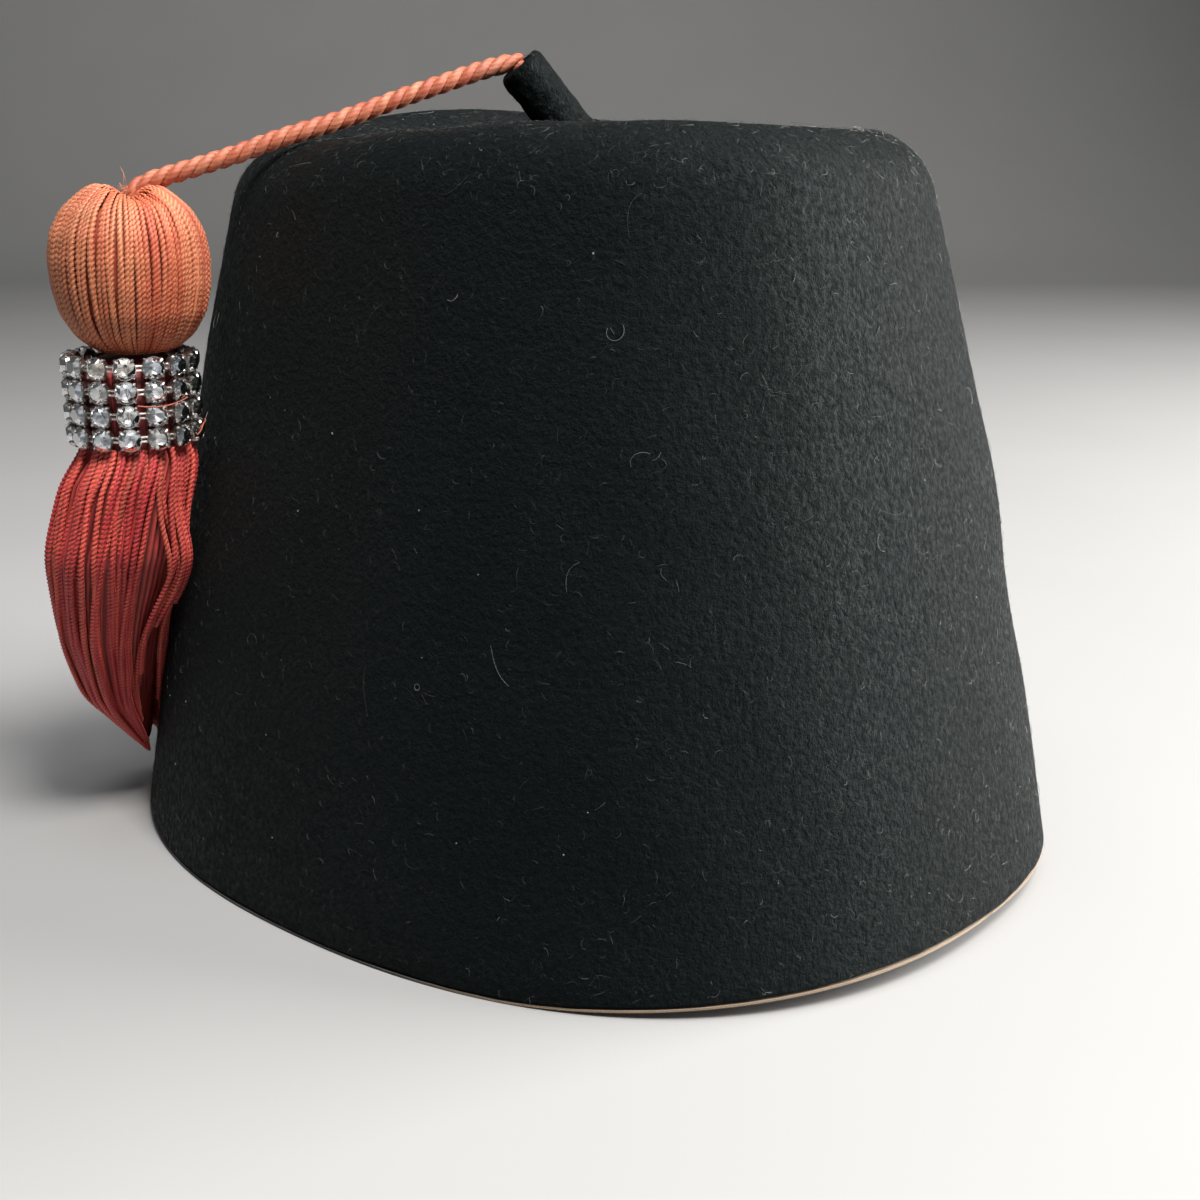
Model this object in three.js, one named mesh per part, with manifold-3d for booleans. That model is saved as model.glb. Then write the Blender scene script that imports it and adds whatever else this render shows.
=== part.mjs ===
// Felt fez with a leaning felt stem, a twisted cord and a tassel held by a rhinestone band.
// Millimetres, +Z up. Each piece is made about the middle of the rim's oval, on the surface that it
// rests on, and the whole is then set with the middle of its box over the origin.
// +X runs along the long axis of the head oval. "Out" is measured from the crown's upright axis
// towards the tassel, and "back" is square to that, round the crown towards its +Y side.
import * as THREE from 'three';
import { mergeVertices } from 'three/addons/utils/BufferGeometryUtils.js';
import Module from 'manifold-3d';

const wasm = await Module();
wasm.setup();

// Crown
const RIM_HALF_LENGTH = 100;
const RIM_HALF_WIDTH = 83.5;
const TOP_HALF_LENGTH = 74;
const TOP_HALF_WIDTH = 57.5;
const CROWN_HEIGHT = 144;
const TOP_EDGE_RADIUS = 14.5;
const FELT_WALL = 2.5;
const SIDE_BULGE = 1.4;
const TOP_SHIFT = -2.3;
const TOP_DISH = 1.2;
const RIM_END_LIFT = 4;
const OVAL_POWER = 2.28;
// Share of the way to the ends of the oval over which the rim stays on the surface.
const RIM_REST = 0.42;
const RIM_LIFT_POWER = 1.3;

// Tape inside the rim. Its lower edge shows below the felt.
const TAPE_THICKNESS = 1;
const TAPE_WIDTH = 26;
const TAPE_SHOWS = 0.5;
const SEAT_GAP = 0.3;

// Stem
const STEM_DIAMETER = 9.5;
const STEM_LENGTH = 16.2;
const STEM_LEAN = THREE.MathUtils.degToRad(40.4);
const STEM_EDGE = 0.6;
// Room round the cord in the stem's bore, and the bore's depth.
const BORE_CLEARANCE = 1.15;
const BORE_DEPTH = 6;

// Cord
const CORD_DIAMETER = 3.7;
const CORD_CLEARANCE = 0.3;

// Tassel
const TASSEL_AZIMUTH = THREE.MathUtils.degToRad(233);
const HEAD_DIAMETER = 30.8;
const HEAD_HEIGHT = 32.8;
const HEAD_BASE_HEIGHT = 101.4;
const HEAD_WALL_GAP = 4.3;
const HEAD_RIB_DEPTH = 0.5;
const NECK_DIAMETER = 12;
const SKIRT_DIAMETER = 29;
const SKIRT_TIP_HEIGHT = 11.5;
const SKIRT_SWING = 29;
const SKIRT_WALL_GAP = 0.6;
const LOCKS = 12;
const LOCK_DIAMETER = 9.6;
// Share of its thickness that a lock has lost at its tip, and how late the taper sets in.
const LOCK_TAPER = 0.55;
const LOCK_TAPER_POWER = 3;

// Rhinestone band
const STONE_DIAMETER = 4.1;
const STONE_TABLE = 2.3;
const STONE_RISE = 0.9;
const CUP_DIAMETER = 4.4;
const CUP_DEPTH = 1.8;
const CUP_BACK_DIAMETER = 3.6;
const STONE_PITCH = 5.1;
const ROW_PITCH = 4.5;
const STONE_ROWS = 4;
const STONES_ROUND = 14;
// How far the band reaches up round the foot of the head.
const BAND_LAP = 1.2;
// How far the first column of stones is turned round the band from the side away from the crown.
const BAND_TURN = THREE.MathUtils.degToRad(-10.3);
const LINK_WIDTH = 1.1;
const LINK_THICKNESS = 0.9;

// Number of flats and steps in the faceted forms.
const CROWN_SIDES = 38;
const SIDE_STEPS = 6;
const EDGE_STEPS = 4;
const STEM_SIDES = 16;
const CORD_SIDES = 8;
const CORD_STEPS = 26;
const HEAD_RIBS = 14;
const LOCK_SIDES = 5;
const CORE_SIDES = 12;
const CUP_SIDES = 8;
const SOCKET_STEPS = 10;

// Waves in the height of the top edge, as shares of the crown's height.
const TOP_EDGE_WAVES = [
  { perTurn: 1, cosine: -0.0047, sine: 0.0077 },
  { perTurn: 2, cosine: 0.0042, sine: -0.0139 },
  { perTurn: 3, cosine: -0.0032, sine: 0.0043 },
];

// Soft dents in the side: azimuth and spread in degrees, height and rise as shares of the crown's
// height, depth as a share of the felt's wall. A negative depth is a swelling.
const SIDE_DENTS = [
  { azimuth: 35, spread: 30, height: 0.52, rise: 0.09, depth: -0.3 },
  { azimuth: 38, spread: 26, height: 0.35, rise: 0.08, depth: 0.24 },
  { azimuth: 150, spread: 34, height: 0.6, rise: 0.2, depth: 0.3 },
  { azimuth: 262, spread: 22, height: 0.66, rise: 0.16, depth: 0.22 },
  { azimuth: 318, spread: 20, height: 0.3, rise: 0.18, depth: -0.2 },
];

// Rings of the flat top, as shares of the way from its middle to the edge's curve.
const TOP_RINGS = [0.6, 0.14];

// Outline of the tassel's head: height and radius as shares of half its height and diameter.
const HEAD_OUTLINE = [
  { height: -1, radius: 0.42 },
  { height: -0.93, radius: 0.56 },
  { height: -0.78, radius: 0.75 },
  { height: -0.52, radius: 0.91 },
  { height: -0.2, radius: 0.985 },
  { height: 0.12, radius: 1 },
  { height: 0.42, radius: 0.95 },
  { height: 0.68, radius: 0.81 },
  { height: 0.87, radius: 0.6 },
  { height: 0.97, radius: 0.4 },
  { height: 1, radius: 0.26 },
  { height: 0.96, radius: 0.15 },
];
const HEAD_DIMPLE = 0.9;

// Course of the skirt: drop from its top to its tip, swing back, and half thickness and half width
// as shares of the skirt's radius. It lies against the crown's side all the way.
const SKIRT_COURSE = [
  { drop: 0, swing: 0, thick: 0.78, wide: 0.78 },
  { drop: 0.09, swing: 0, thick: 0.93, wide: 0.95 },
  { drop: 0.3, swing: 0.05, thick: 0.96, wide: 1.02 },
  { drop: 0.56, swing: 0.38, thick: 0.8, wide: 1 },
  { drop: 0.78, swing: 0.68, thick: 0.58, wide: 0.94 },
  { drop: 0.89, swing: 0.85, thick: 0.34, wide: 0.82 },
  { drop: 1, swing: 1, thick: 0.09, wide: 0.66 },
];
// Share of the skirt's drop over which it settles from the band onto the crown's side.
const SKIRT_SETTLE = 0.25;
// Where the sections of the locks and of the core lie, as shares of their drop.
const LOCK_DROPS = [0.03, 0.14, 0.28, 0.44, 0.6, 0.75, 0.88, 1];
const CORE_DROPS = [0, 0.1, 0.28, 0.46, 0.64, 0.8, 0.9];
// How far down each lock ends, as shares of the skirt's drop, repeated round the skirt.
const LOCK_ENDS = [1, 0.96, 0.99, 0.93, 0.98, 0.95];
// Where the locks lie in the skirt's section, and the size of the core behind them.
const LOCK_SEAT = 0.68;
const CORE_SHARE = 0.8;

// Route of the cord, from the stem's mouth over the crown's shoulder into the tassel's head:
// distance out towards the tassel, distance back, and height.
const CORD_ROUTE = [
  { out: 10.8, back: 1.8, up: 155.9 },
  { out: 13.9, back: 1.6, up: 155.6 },
  { out: 17.8, back: 1.2, up: 154.7 },
  { out: 22.4, back: 0.9, up: 153.3 },
  { out: 27.8, back: 0.6, up: 151.5 },
  { out: 35.4, back: 0.3, up: 149 },
  { out: 42.2, back: 0, up: 146.6 },
  { out: 49.3, back: -0.4, up: 144.3 },
  { out: 54.9, back: -0.6, up: 142.7 },
  { out: 60.7, back: -0.6, up: 140.9 },
  { out: 66, back: -0.5, up: 139 },
  { out: 70.5, back: -0.4, up: 137.6 },
  { out: 75.5, back: -0.3, up: 136.1 },
  { out: 80, back: -0.2, up: 134.8 },
  { out: 83.4, back: -0.1, up: 133.7 },
  { out: 86, back: 0, up: 132.2 },
  { out: 87.8, back: 0, up: 130.2 },
];

// Steps in the search for the crown's wall, and the distance within which points are joined.
const WALL_SEARCH_STEPS = 24;
const JOIN_DISTANCE = 1e-4;

// Sizes worked out from the ones above.
const HEAD_RADIUS = HEAD_DIAMETER / 2;
const SKIRT_RADIUS = SKIRT_DIAMETER / 2;
const SIDE_ANGLE = Math.atan((RIM_HALF_LENGTH - TOP_HALF_LENGTH) / (CROWN_HEIGHT - TOP_EDGE_RADIUS));
const NECK_TOP = HEAD_BASE_HEIGHT - SEAT_GAP;
const BAND_HEIGHT = (STONE_ROWS - 1) * ROW_PITCH + CUP_DIAMETER;
const BAND_TOP = NECK_TOP + BAND_LAP;
const BAND_BOTTOM = BAND_TOP - BAND_HEIGHT;
const CUP_RING_RADIUS = (STONES_ROUND * STONE_PITCH) / (2 * Math.PI);
const BAND_OUTER_RADIUS = CUP_RING_RADIUS + CUP_DEPTH / 2 + STONE_RISE;
const BAND_INNER_RADIUS = CUP_RING_RADIUS - CUP_DEPTH / 2;

// Geometry helpers

// Skins a list of rings of points into one closed body. In a loop the last ring joins the first;
// otherwise the two end rings close on their own middles, or on the points given.
function skin(rings, { loop = false, startMiddle = null, endMiddle = null } = {}) {
  const sides = rings[0].length;
  const points = rings.flat().map((p) => p.clone());
  const triangles = [];
  const joined = loop ? rings.length : rings.length - 1;
  for (let i = 0; i < joined; i++) {
    const here = i * sides;
    const next = ((i + 1) % rings.length) * sides;
    for (let j = 0; j < sides; j++) {
      const k = (j + 1) % sides;
      triangles.push([here + j, here + k, next + k], [here + j, next + k, next + j]);
    }
  }
  if (!loop) {
    const last = (rings.length - 1) * sides;
    const start = points.push(startMiddle ?? middle(rings[0])) - 1;
    const end = points.push(endMiddle ?? middle(rings[rings.length - 1])) - 1;
    for (let j = 0; j < sides; j++) {
      const k = (j + 1) % sides;
      triangles.push([start, k, j], [end, last + j, last + k]);
    }
  }
  return body(points, triangles);
}

function middle(ring) {
  const sum = new THREE.Vector3();
  ring.forEach((p) => sum.add(p));
  return sum.divideScalar(ring.length);
}

// Makes the geometry and turns its faces outwards.
function body(points, triangles) {
  let volume = 0;
  for (const [a, b, c] of triangles) {
    volume += points[a].dot(new THREE.Vector3().crossVectors(points[b], points[c]));
  }
  const faces = volume < 0 ? triangles.map(([a, b, c]) => [a, c, b]) : triangles;
  const geometry = new THREE.BufferGeometry();
  geometry.setAttribute('position', new THREE.Float32BufferAttribute(points.flatMap((p) => p.toArray()), 3));
  geometry.setIndex(faces.flat());
  return geometry;
}

function toSolid(geometry) {
  const bare = geometry.clone();
  bare.deleteAttribute('normal');
  bare.deleteAttribute('uv');
  const merged = mergeVertices(bare, JOIN_DISTANCE);
  return new wasm.Manifold(new wasm.Mesh({
    numProp: 3,
    vertProperties: Float32Array.from(merged.attributes.position.array),
    triVerts: Uint32Array.from(merged.index.array),
  }));
}

function fromSolid(solid) {
  const mesh = solid.getMesh();
  const geometry = new THREE.BufferGeometry();
  geometry.setAttribute('position', new THREE.BufferAttribute(Float32Array.from(mesh.vertProperties), 3));
  geometry.setIndex(Array.from(mesh.triVerts));
  return geometry;
}

function fuse(geometries) {
  return fromSolid(geometries.map(toSolid).reduce((all, one) => all.add(one)));
}

const turnsOf = (sides) => Array.from({ length: sides }, (_, j) => (2 * Math.PI * j) / sides);

// A point given by its distance out towards the tassel, its distance back and its height.
function hang(out, back, up) {
  const c = Math.cos(TASSEL_AZIMUTH);
  const s = Math.sin(TASSEL_AZIMUTH);
  return new THREE.Vector3(out * c + back * s, out * s - back * c, up);
}

// Value of one column of a table at a given place in its key column, on straight lines between rows.
function column(table, key, name, at) {
  let i = 0;
  while (i < table.length - 2 && table[i + 1][key] < at) i++;
  const a = table[i];
  const b = table[i + 1];
  const t = THREE.MathUtils.clamp((at - a[key]) / (b[key] - a[key]), 0, 1);
  return THREE.MathUtils.lerp(a[name], b[name], t);
}

// Crown surface

function ovalPoint(turn, halfLength, halfWidth) {
  const c = Math.cos(turn);
  const s = Math.sin(turn);
  return [
    halfLength * Math.sign(c) * Math.abs(c) ** (2 / OVAL_POWER),
    halfWidth * Math.sign(s) * Math.abs(s) ** (2 / OVAL_POWER),
  ];
}

function rimLift(turn) {
  const past = Math.max(0, (Math.abs(Math.cos(turn)) - RIM_REST) / (1 - RIM_REST));
  return RIM_END_LIFT * past ** RIM_LIFT_POWER;
}

function topWave(turn) {
  let wave = 0;
  for (const { perTurn, cosine, sine } of TOP_EDGE_WAVES) {
    wave += cosine * Math.cos(perTurn * turn) + sine * Math.sin(perTurn * turn);
  }
  return wave * CROWN_HEIGHT;
}

function dent(turn, height) {
  let depth = 0;
  for (const row of SIDE_DENTS) {
    const degrees = THREE.MathUtils.radToDeg(turn) - row.azimuth;
    const aside = (((degrees + 180) % 360) + 360) % 360 - 180;
    const above = height / CROWN_HEIGHT - row.height;
    depth += row.depth * FELT_WALL * Math.exp(-((aside / row.spread) ** 2) - (above / row.rise) ** 2);
  }
  return depth;
}

// Half length and half width of the crown's side at a share of the way up to its top edge.
function sideSize(share, inset) {
  const bulge = SIDE_BULGE * Math.sin(Math.PI * share) - inset / Math.cos(SIDE_ANGLE);
  const curve = TOP_EDGE_RADIUS * (1 - Math.cos(SIDE_ANGLE));
  return [
    THREE.MathUtils.lerp(RIM_HALF_LENGTH, TOP_HALF_LENGTH - curve, share) + bulge,
    THREE.MathUtils.lerp(RIM_HALF_WIDTH, TOP_HALF_WIDTH - curve, share) + bulge,
  ];
}

const sideTop = (inset) => CROWN_HEIGHT - TOP_EDGE_RADIUS + (TOP_EDGE_RADIUS - inset) * Math.sin(SIDE_ANGLE);

// A point of the crown's side. The inset is the depth below the outer face.
function sidePoint(turn, share, inset, raise = 0) {
  const height = share * sideTop(inset);
  const [halfLength, halfWidth] = sideSize(share, inset);
  const depth = dent(turn, height);
  const [x, y] = ovalPoint(turn, halfLength - depth, halfWidth - depth);
  const lift = (rimLift(turn) + raise) * (1 - share) + topWave(turn) * share * share;
  return new THREE.Vector3(x + TOP_SHIFT * share, y, height + lift);
}

function edgePoint(turn, angle, inset) {
  const reach = (TOP_EDGE_RADIUS - inset) * Math.cos(angle) - TOP_EDGE_RADIUS;
  const depth = dent(turn, CROWN_HEIGHT - TOP_EDGE_RADIUS) * Math.cos(angle);
  const [x, y] = ovalPoint(turn, TOP_HALF_LENGTH + reach - depth, TOP_HALF_WIDTH + reach - depth);
  const rise = CROWN_HEIGHT - TOP_EDGE_RADIUS + (TOP_EDGE_RADIUS - inset) * Math.sin(angle);
  return new THREE.Vector3(x + TOP_SHIFT, y, rise + topWave(turn));
}

function topPoint(turn, share, inset) {
  const [x, y] = ovalPoint(turn, (TOP_HALF_LENGTH - TOP_EDGE_RADIUS) * share,
    (TOP_HALF_WIDTH - TOP_EDGE_RADIUS) * share);
  const dished = TOP_DISH * (1 - share * share);
  return new THREE.Vector3(x + TOP_SHIFT, y, CROWN_HEIGHT - inset - dished + topWave(turn) * share ** 3);
}

// How far out the crown's outer face lies at a distance back and a height, found by repeated steps.
function wallOut(back, up) {
  let out = RIM_HALF_LENGTH / 2;
  for (let i = 0; i < WALL_SEARCH_STEPS; i++) {
    const p = hang(out, back, up);
    const share = THREE.MathUtils.clamp(up / sideTop(0), 0, 1);
    const [halfLength, halfWidth] = sideSize(share, 0);
    const x = Math.abs(p.x - TOP_SHIFT * share) / halfLength;
    const y = Math.abs(p.y) / halfWidth;
    out /= (x ** OVAL_POWER + y ** OVAL_POWER) ** (1 / OVAL_POWER);
  }
  return out;
}

function crownRings(inset, raise) {
  const turns = turnsOf(CROWN_SIDES);
  const rings = [];
  for (let i = 0; i < SIDE_STEPS; i++) {
    rings.push(turns.map((turn) => sidePoint(turn, i / SIDE_STEPS, inset, raise)));
  }
  for (let i = 0; i <= EDGE_STEPS; i++) {
    const angle = THREE.MathUtils.lerp(SIDE_ANGLE, Math.PI / 2, i / EDGE_STEPS);
    rings.push(turns.map((turn) => edgePoint(turn, angle, inset)));
  }
  for (const share of TOP_RINGS) rings.push(turns.map((turn) => topPoint(turn, share, inset)));
  return rings;
}

function crownGeometry() {
  const outside = crownRings(0, TAPE_SHOWS);
  const inside = crownRings(FELT_WALL, TAPE_SHOWS);
  return skin([...outside.reverse(), ...inside]);
}

// Tape inside the rim, hung a seat's gap inside the felt. It holds the rim's lowest edge.
function tapeGeometry() {
  const turns = turnsOf(CROWN_SIDES);
  const nearInset = FELT_WALL + SEAT_GAP;
  const farInset = nearInset + TAPE_THICKNESS;
  const topShare = TAPE_WIDTH / sideTop(nearInset);
  const ring = (share, inset) => turns.map((turn) => sidePoint(turn, share, inset));
  return skin([
    ring(0, nearInset), ring(topShare / 2, nearInset), ring(topShare, nearInset),
    ring(topShare, farInset), ring(topShare / 2, farInset), ring(0, farInset),
  ], { loop: true });
}

// Stem: a felt tube cut off flat on the crown's top, open at its upper end for the cord.
const STEM_FOOT = new THREE.Vector3(TOP_SHIFT, 0, CROWN_HEIGHT - TOP_DISH + SEAT_GAP);
const STEM_AXIS = hang(Math.sin(STEM_LEAN), 0, Math.cos(STEM_LEAN));

function stemGeometry() {
  const across = hang(Math.cos(STEM_LEAN), 0, -Math.sin(STEM_LEAN));
  const aside = hang(0, 1, 0);
  const ring = (radius, along) => turnsOf(STEM_SIDES).map((turn) => STEM_FOOT.clone()
    .addScaledVector(STEM_AXIS, along)
    .addScaledVector(across, radius * Math.cos(turn))
    .addScaledVector(aside, radius * Math.sin(turn)));
  const slideToFoot = (p) => p.clone().addScaledVector(STEM_AXIS, (STEM_FOOT.z - p.z) / STEM_AXIS.z);
  const radius = STEM_DIAMETER / 2;
  const bore = CORD_DIAMETER / 2 + BORE_CLEARANCE;
  return skin([
    ring(radius, 0).map(slideToFoot),
    ring(radius, STEM_LENGTH - STEM_EDGE),
    ring(radius - STEM_EDGE, STEM_LENGTH),
    ring(bore, STEM_LENGTH),
    ring(bore, STEM_LENGTH - BORE_DEPTH),
  ]);
}

// Cord: a round tube along the route.
const cordCurve = new THREE.CatmullRomCurve3(CORD_ROUTE.map(({ out, back, up }) => hang(out, back, up)), false,
  'centripetal');

function tubeGeometry(curve, radius, steps) {
  const section = new THREE.Shape(turnsOf(CORD_SIDES)
    .map((turn) => new THREE.Vector2(radius * Math.cos(turn), radius * Math.sin(turn))));
  const tube = new THREE.ExtrudeGeometry(section, { steps, extrudePath: curve, curveSegments: 1 });
  tube.deleteAttribute('normal');
  tube.deleteAttribute('uv');
  return mergeVertices(tube, JOIN_DISTANCE);
}

// Head of the tassel: a ribbed ball of wound thread, with a socket where the cord goes in.
const HEAD_MIDDLE_HEIGHT = HEAD_BASE_HEIGHT + HEAD_HEIGHT / 2;
const HEAD_OUT = wallOut(0, HEAD_MIDDLE_HEIGHT) + HEAD_WALL_GAP + HEAD_RADIUS;
const BAND_OUT = Math.max(HEAD_OUT, wallOut(0, BAND_BOTTOM) + SEAT_GAP + BAND_OUTER_RADIUS);

function headGeometry() {
  const at = (height) => hang(HEAD_OUT, 0, HEAD_MIDDLE_HEIGHT + (height * HEAD_HEIGHT) / 2);
  const rings = HEAD_OUTLINE.map(({ height, radius }) => turnsOf(2 * HEAD_RIBS).map((turn, j) => {
    const rib = j % 2 ? HEAD_RIB_DEPTH * radius : 0;
    const reach = HEAD_RADIUS * radius - rib;
    return at(height).add(hang(reach * Math.cos(turn), reach * Math.sin(turn), 0));
  }));
  const ball = skin(rings, { startMiddle: at(-1), endMiddle: at(HEAD_DIMPLE) });
  return fromSolid(toSolid(ball).subtract(toSolid(socketGeometry())));
}

// Room round the last stretch of the cord, and past its end.
function socketGeometry() {
  const points = cordCurve.getSpacedPoints(CORD_STEPS).slice(-SOCKET_STEPS);
  const [last, before] = [points[points.length - 1], points[points.length - 2]];
  const beyond = last.clone().sub(before).setLength(CORD_CLEARANCE).add(last);
  return tubeGeometry(new THREE.CatmullRomCurve3([...points, beyond]), CORD_DIAMETER / 2 + CORD_CLEARANCE,
    SOCKET_STEPS);
}

// Skirt of the tassel: a core with locks of twisted thread, and the neck that the band grips.
function skirtSection(drop) {
  const up = THREE.MathUtils.lerp(BAND_BOTTOM, SKIRT_TIP_HEIGHT, drop);
  const back = SKIRT_SWING * column(SKIRT_COURSE, 'drop', 'swing', drop);
  const thick = SKIRT_RADIUS * column(SKIRT_COURSE, 'drop', 'thick', drop);
  const wide = SKIRT_RADIUS * column(SKIRT_COURSE, 'drop', 'wide', drop);
  const resting = wallOut(back, up) + SKIRT_WALL_GAP + thick;
  const out = THREE.MathUtils.lerp(Math.max(BAND_OUT, resting), resting, Math.min(1, drop / SKIRT_SETTLE));
  return { out, back, up, thick, wide };
}

function skirtRing(drop, seat, radius, sides, spread) {
  const { out, back, up, thick, wide } = skirtSection(drop);
  const centreOut = out + seat * thick * Math.cos(spread);
  const centreBack = back + seat * wide * Math.sin(spread);
  return turnsOf(sides).map((turn) => hang(centreOut + radius(thick) * Math.cos(turn),
    centreBack + radius(wide) * Math.sin(turn), up));
}

function lockGeometry(index) {
  const end = LOCK_ENDS[index % LOCK_ENDS.length];
  const spread = (2 * Math.PI * index) / LOCKS;
  const rings = LOCK_DROPS.map((share) => {
    const taper = 1 - LOCK_TAPER * share ** LOCK_TAPER_POWER;
    const size = (half) => (LOCK_DIAMETER / 2) * (half / SKIRT_RADIUS) * taper;
    return skirtRing(share * end, LOCK_SEAT, size, LOCK_SIDES, spread);
  });
  return skin(rings);
}

function coreGeometry() {
  const below = CORE_DROPS.map((drop) => skirtRing(drop, 0, (half) => half * CORE_SHARE, CORE_SIDES, 0));
  const neckRing = (up, radius) => turnsOf(CORE_SIDES).map((turn) => hang(BAND_OUT + radius * Math.cos(turn),
    radius * Math.sin(turn), up));
  const gripped = BAND_INNER_RADIUS - SEAT_GAP;
  return skin([
    neckRing(NECK_TOP, NECK_DIAMETER / 2),
    neckRing(NECK_TOP - CUP_DIAMETER / 2, gripped),
    neckRing(BAND_BOTTOM + CUP_DIAMETER / 2, gripped),
    ...below,
  ]);
}

function skirtGeometry() {
  const locks = Array.from({ length: LOCKS }, (_, i) => lockGeometry(i));
  return fuse([coreGeometry(), ...locks]);
}

// Rhinestone band: rows of cut stones in cups, joined by links, with open gaps between the cups.
function setStone(turn, up) {
  const normal = hang(Math.cos(turn), Math.sin(turn), 0);
  const aside = hang(-Math.sin(turn), Math.cos(turn), 0);
  const centre = hang(BAND_OUT, 0, up).addScaledVector(normal, CUP_RING_RADIUS);
  const ring = (diameter, proud) => turnsOf(CUP_SIDES).map((around) => centre.clone()
    .addScaledVector(normal, proud)
    .addScaledVector(aside, (diameter / 2) * Math.cos(around + Math.PI / CUP_SIDES))
    .add(new THREE.Vector3(0, 0, (diameter / 2) * Math.sin(around + Math.PI / CUP_SIDES))));
  return skin([
    ring(CUP_BACK_DIAMETER, -CUP_DEPTH / 2),
    ring(CUP_DIAMETER, CUP_DEPTH / 2),
    ring(STONE_DIAMETER, CUP_DEPTH / 2),
    ring(STONE_TABLE, CUP_DEPTH / 2 + STONE_RISE),
  ]);
}

const stoneTurns = () => turnsOf(STONES_ROUND).map((turn) => turn + BAND_TURN);

// A hoop of three-cornered wire that links the cups of one row.
function rowLink(up) {
  const ring = (radius, height) => stoneTurns()
    .map((turn) => hang(BAND_OUT + radius * Math.cos(turn), radius * Math.sin(turn), height));
  const inner = CUP_RING_RADIUS - LINK_THICKNESS / 2;
  const outer = CUP_RING_RADIUS + LINK_THICKNESS / 2;
  return skin([
    ring(inner, up - LINK_WIDTH / 2), ring(inner, up + LINK_WIDTH / 2), ring(outer, up),
  ], { loop: true });
}

// An upright three-cornered wire that links the cups of one column.
function columnLink(turn, rowHeights) {
  const normal = hang(Math.cos(turn), Math.sin(turn), 0);
  const aside = hang(-Math.sin(turn), Math.cos(turn), 0);
  const corner = (proud, sideways, up) => hang(BAND_OUT, 0, up)
    .addScaledVector(normal, CUP_RING_RADIUS + proud)
    .addScaledVector(aside, sideways);
  const section = (up) => [
    corner(-LINK_THICKNESS / 2, -LINK_WIDTH / 2, up),
    corner(-LINK_THICKNESS / 2, LINK_WIDTH / 2, up),
    corner(LINK_THICKNESS / 2, 0, up),
  ];
  return skin([section(rowHeights[0]), section(rowHeights[STONE_ROWS - 1])]);
}

function bandGeometry() {
  const rowHeights = Array.from({ length: STONE_ROWS },
    (_, row) => BAND_BOTTOM + CUP_DIAMETER / 2 + row * ROW_PITCH);
  const turns = stoneTurns();
  const stones = rowHeights.flatMap((up) => turns.map((turn) => setStone(turn, up)));
  return fuse([...rowHeights.map(rowLink), ...turns.map((turn) => columnLink(turn, rowHeights)), ...stones]);
}

// Materials
const felt = (colour) => new THREE.MeshStandardMaterial({ color: colour, roughness: 0.95, metalness: 0 });
const thread = (colour) => new THREE.MeshStandardMaterial({ color: colour, roughness: 0.6, metalness: 0 });
const blackFelt = felt(0x14191a);
const stemFelt = felt(0x111516);
const tanTape = new THREE.MeshStandardMaterial({ color: 0x8d7a62, roughness: 0.85, metalness: 0 });
const coralThread = thread(0xc8694a);
const redThread = thread(0xa53a33);
const stones = new THREE.MeshStandardMaterial({ color: 0xb9b7b4, roughness: 0.2, metalness: 0.7 });

function part(name, geometry, material) {
  const mesh = new THREE.Mesh(geometry, material);
  mesh.name = name;
  return mesh;
}

const fez = new THREE.Group();
fez.add(part('crown', crownGeometry(), blackFelt));
fez.add(part('rim_tape', tapeGeometry(), tanTape));
fez.add(part('stem', stemGeometry(), stemFelt));
fez.add(part('cord', tubeGeometry(cordCurve, CORD_DIAMETER / 2, CORD_STEPS), coralThread));

const tassel = new THREE.Group();
tassel.add(part('tassel_head', headGeometry(), coralThread));
tassel.add(part('tassel_skirt', skirtGeometry(), redThread));
tassel.add(part('rhinestone_band', bandGeometry(), stones));
fez.add(tassel);

// The tassel stands out past the crown, so the middle of the box lies a little to its side.
const boxMiddle = new THREE.Box3().setFromObject(fez).getCenter(new THREE.Vector3());
fez.position.set(-boxMiddle.x, -boxMiddle.y, 0);

export default fez;
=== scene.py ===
# Black felt fez with a leaning felt stem, a three-ply cord and a tassel gripped by a rhinestone band.
# Lengths are in millimetres about the middle of the rim's oval, +Z up, and become metres in the
# row frame where a mesh is made. "Out" is measured from the crown's upright axis towards the
# tassel, and "back" is square to that, round the crown towards its +Y side.
import math

import bpy
import numpy as np
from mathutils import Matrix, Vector


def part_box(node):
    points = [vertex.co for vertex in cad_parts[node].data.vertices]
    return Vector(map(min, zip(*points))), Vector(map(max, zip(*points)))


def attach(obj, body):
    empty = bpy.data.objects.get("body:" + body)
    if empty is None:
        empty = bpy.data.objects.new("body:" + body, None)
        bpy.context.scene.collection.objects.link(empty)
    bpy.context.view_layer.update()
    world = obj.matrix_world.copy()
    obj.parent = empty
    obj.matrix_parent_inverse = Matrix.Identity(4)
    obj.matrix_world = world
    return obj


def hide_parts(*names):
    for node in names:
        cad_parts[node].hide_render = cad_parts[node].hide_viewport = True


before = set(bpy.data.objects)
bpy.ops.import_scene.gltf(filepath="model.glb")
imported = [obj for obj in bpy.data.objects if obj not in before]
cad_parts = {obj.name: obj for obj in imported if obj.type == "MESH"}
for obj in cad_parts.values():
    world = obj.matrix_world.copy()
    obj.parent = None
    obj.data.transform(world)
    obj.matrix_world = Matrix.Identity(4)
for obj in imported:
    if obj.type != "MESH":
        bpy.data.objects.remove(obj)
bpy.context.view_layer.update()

MM = 0.001
FULL_TURN = 2 * math.pi
crown_low, crown_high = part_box("crown")
RIM_MIDDLE = np.array([(crown_low.x + crown_high.x) / 2, (crown_low.y + crown_high.y) / 2, 0.0])

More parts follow.
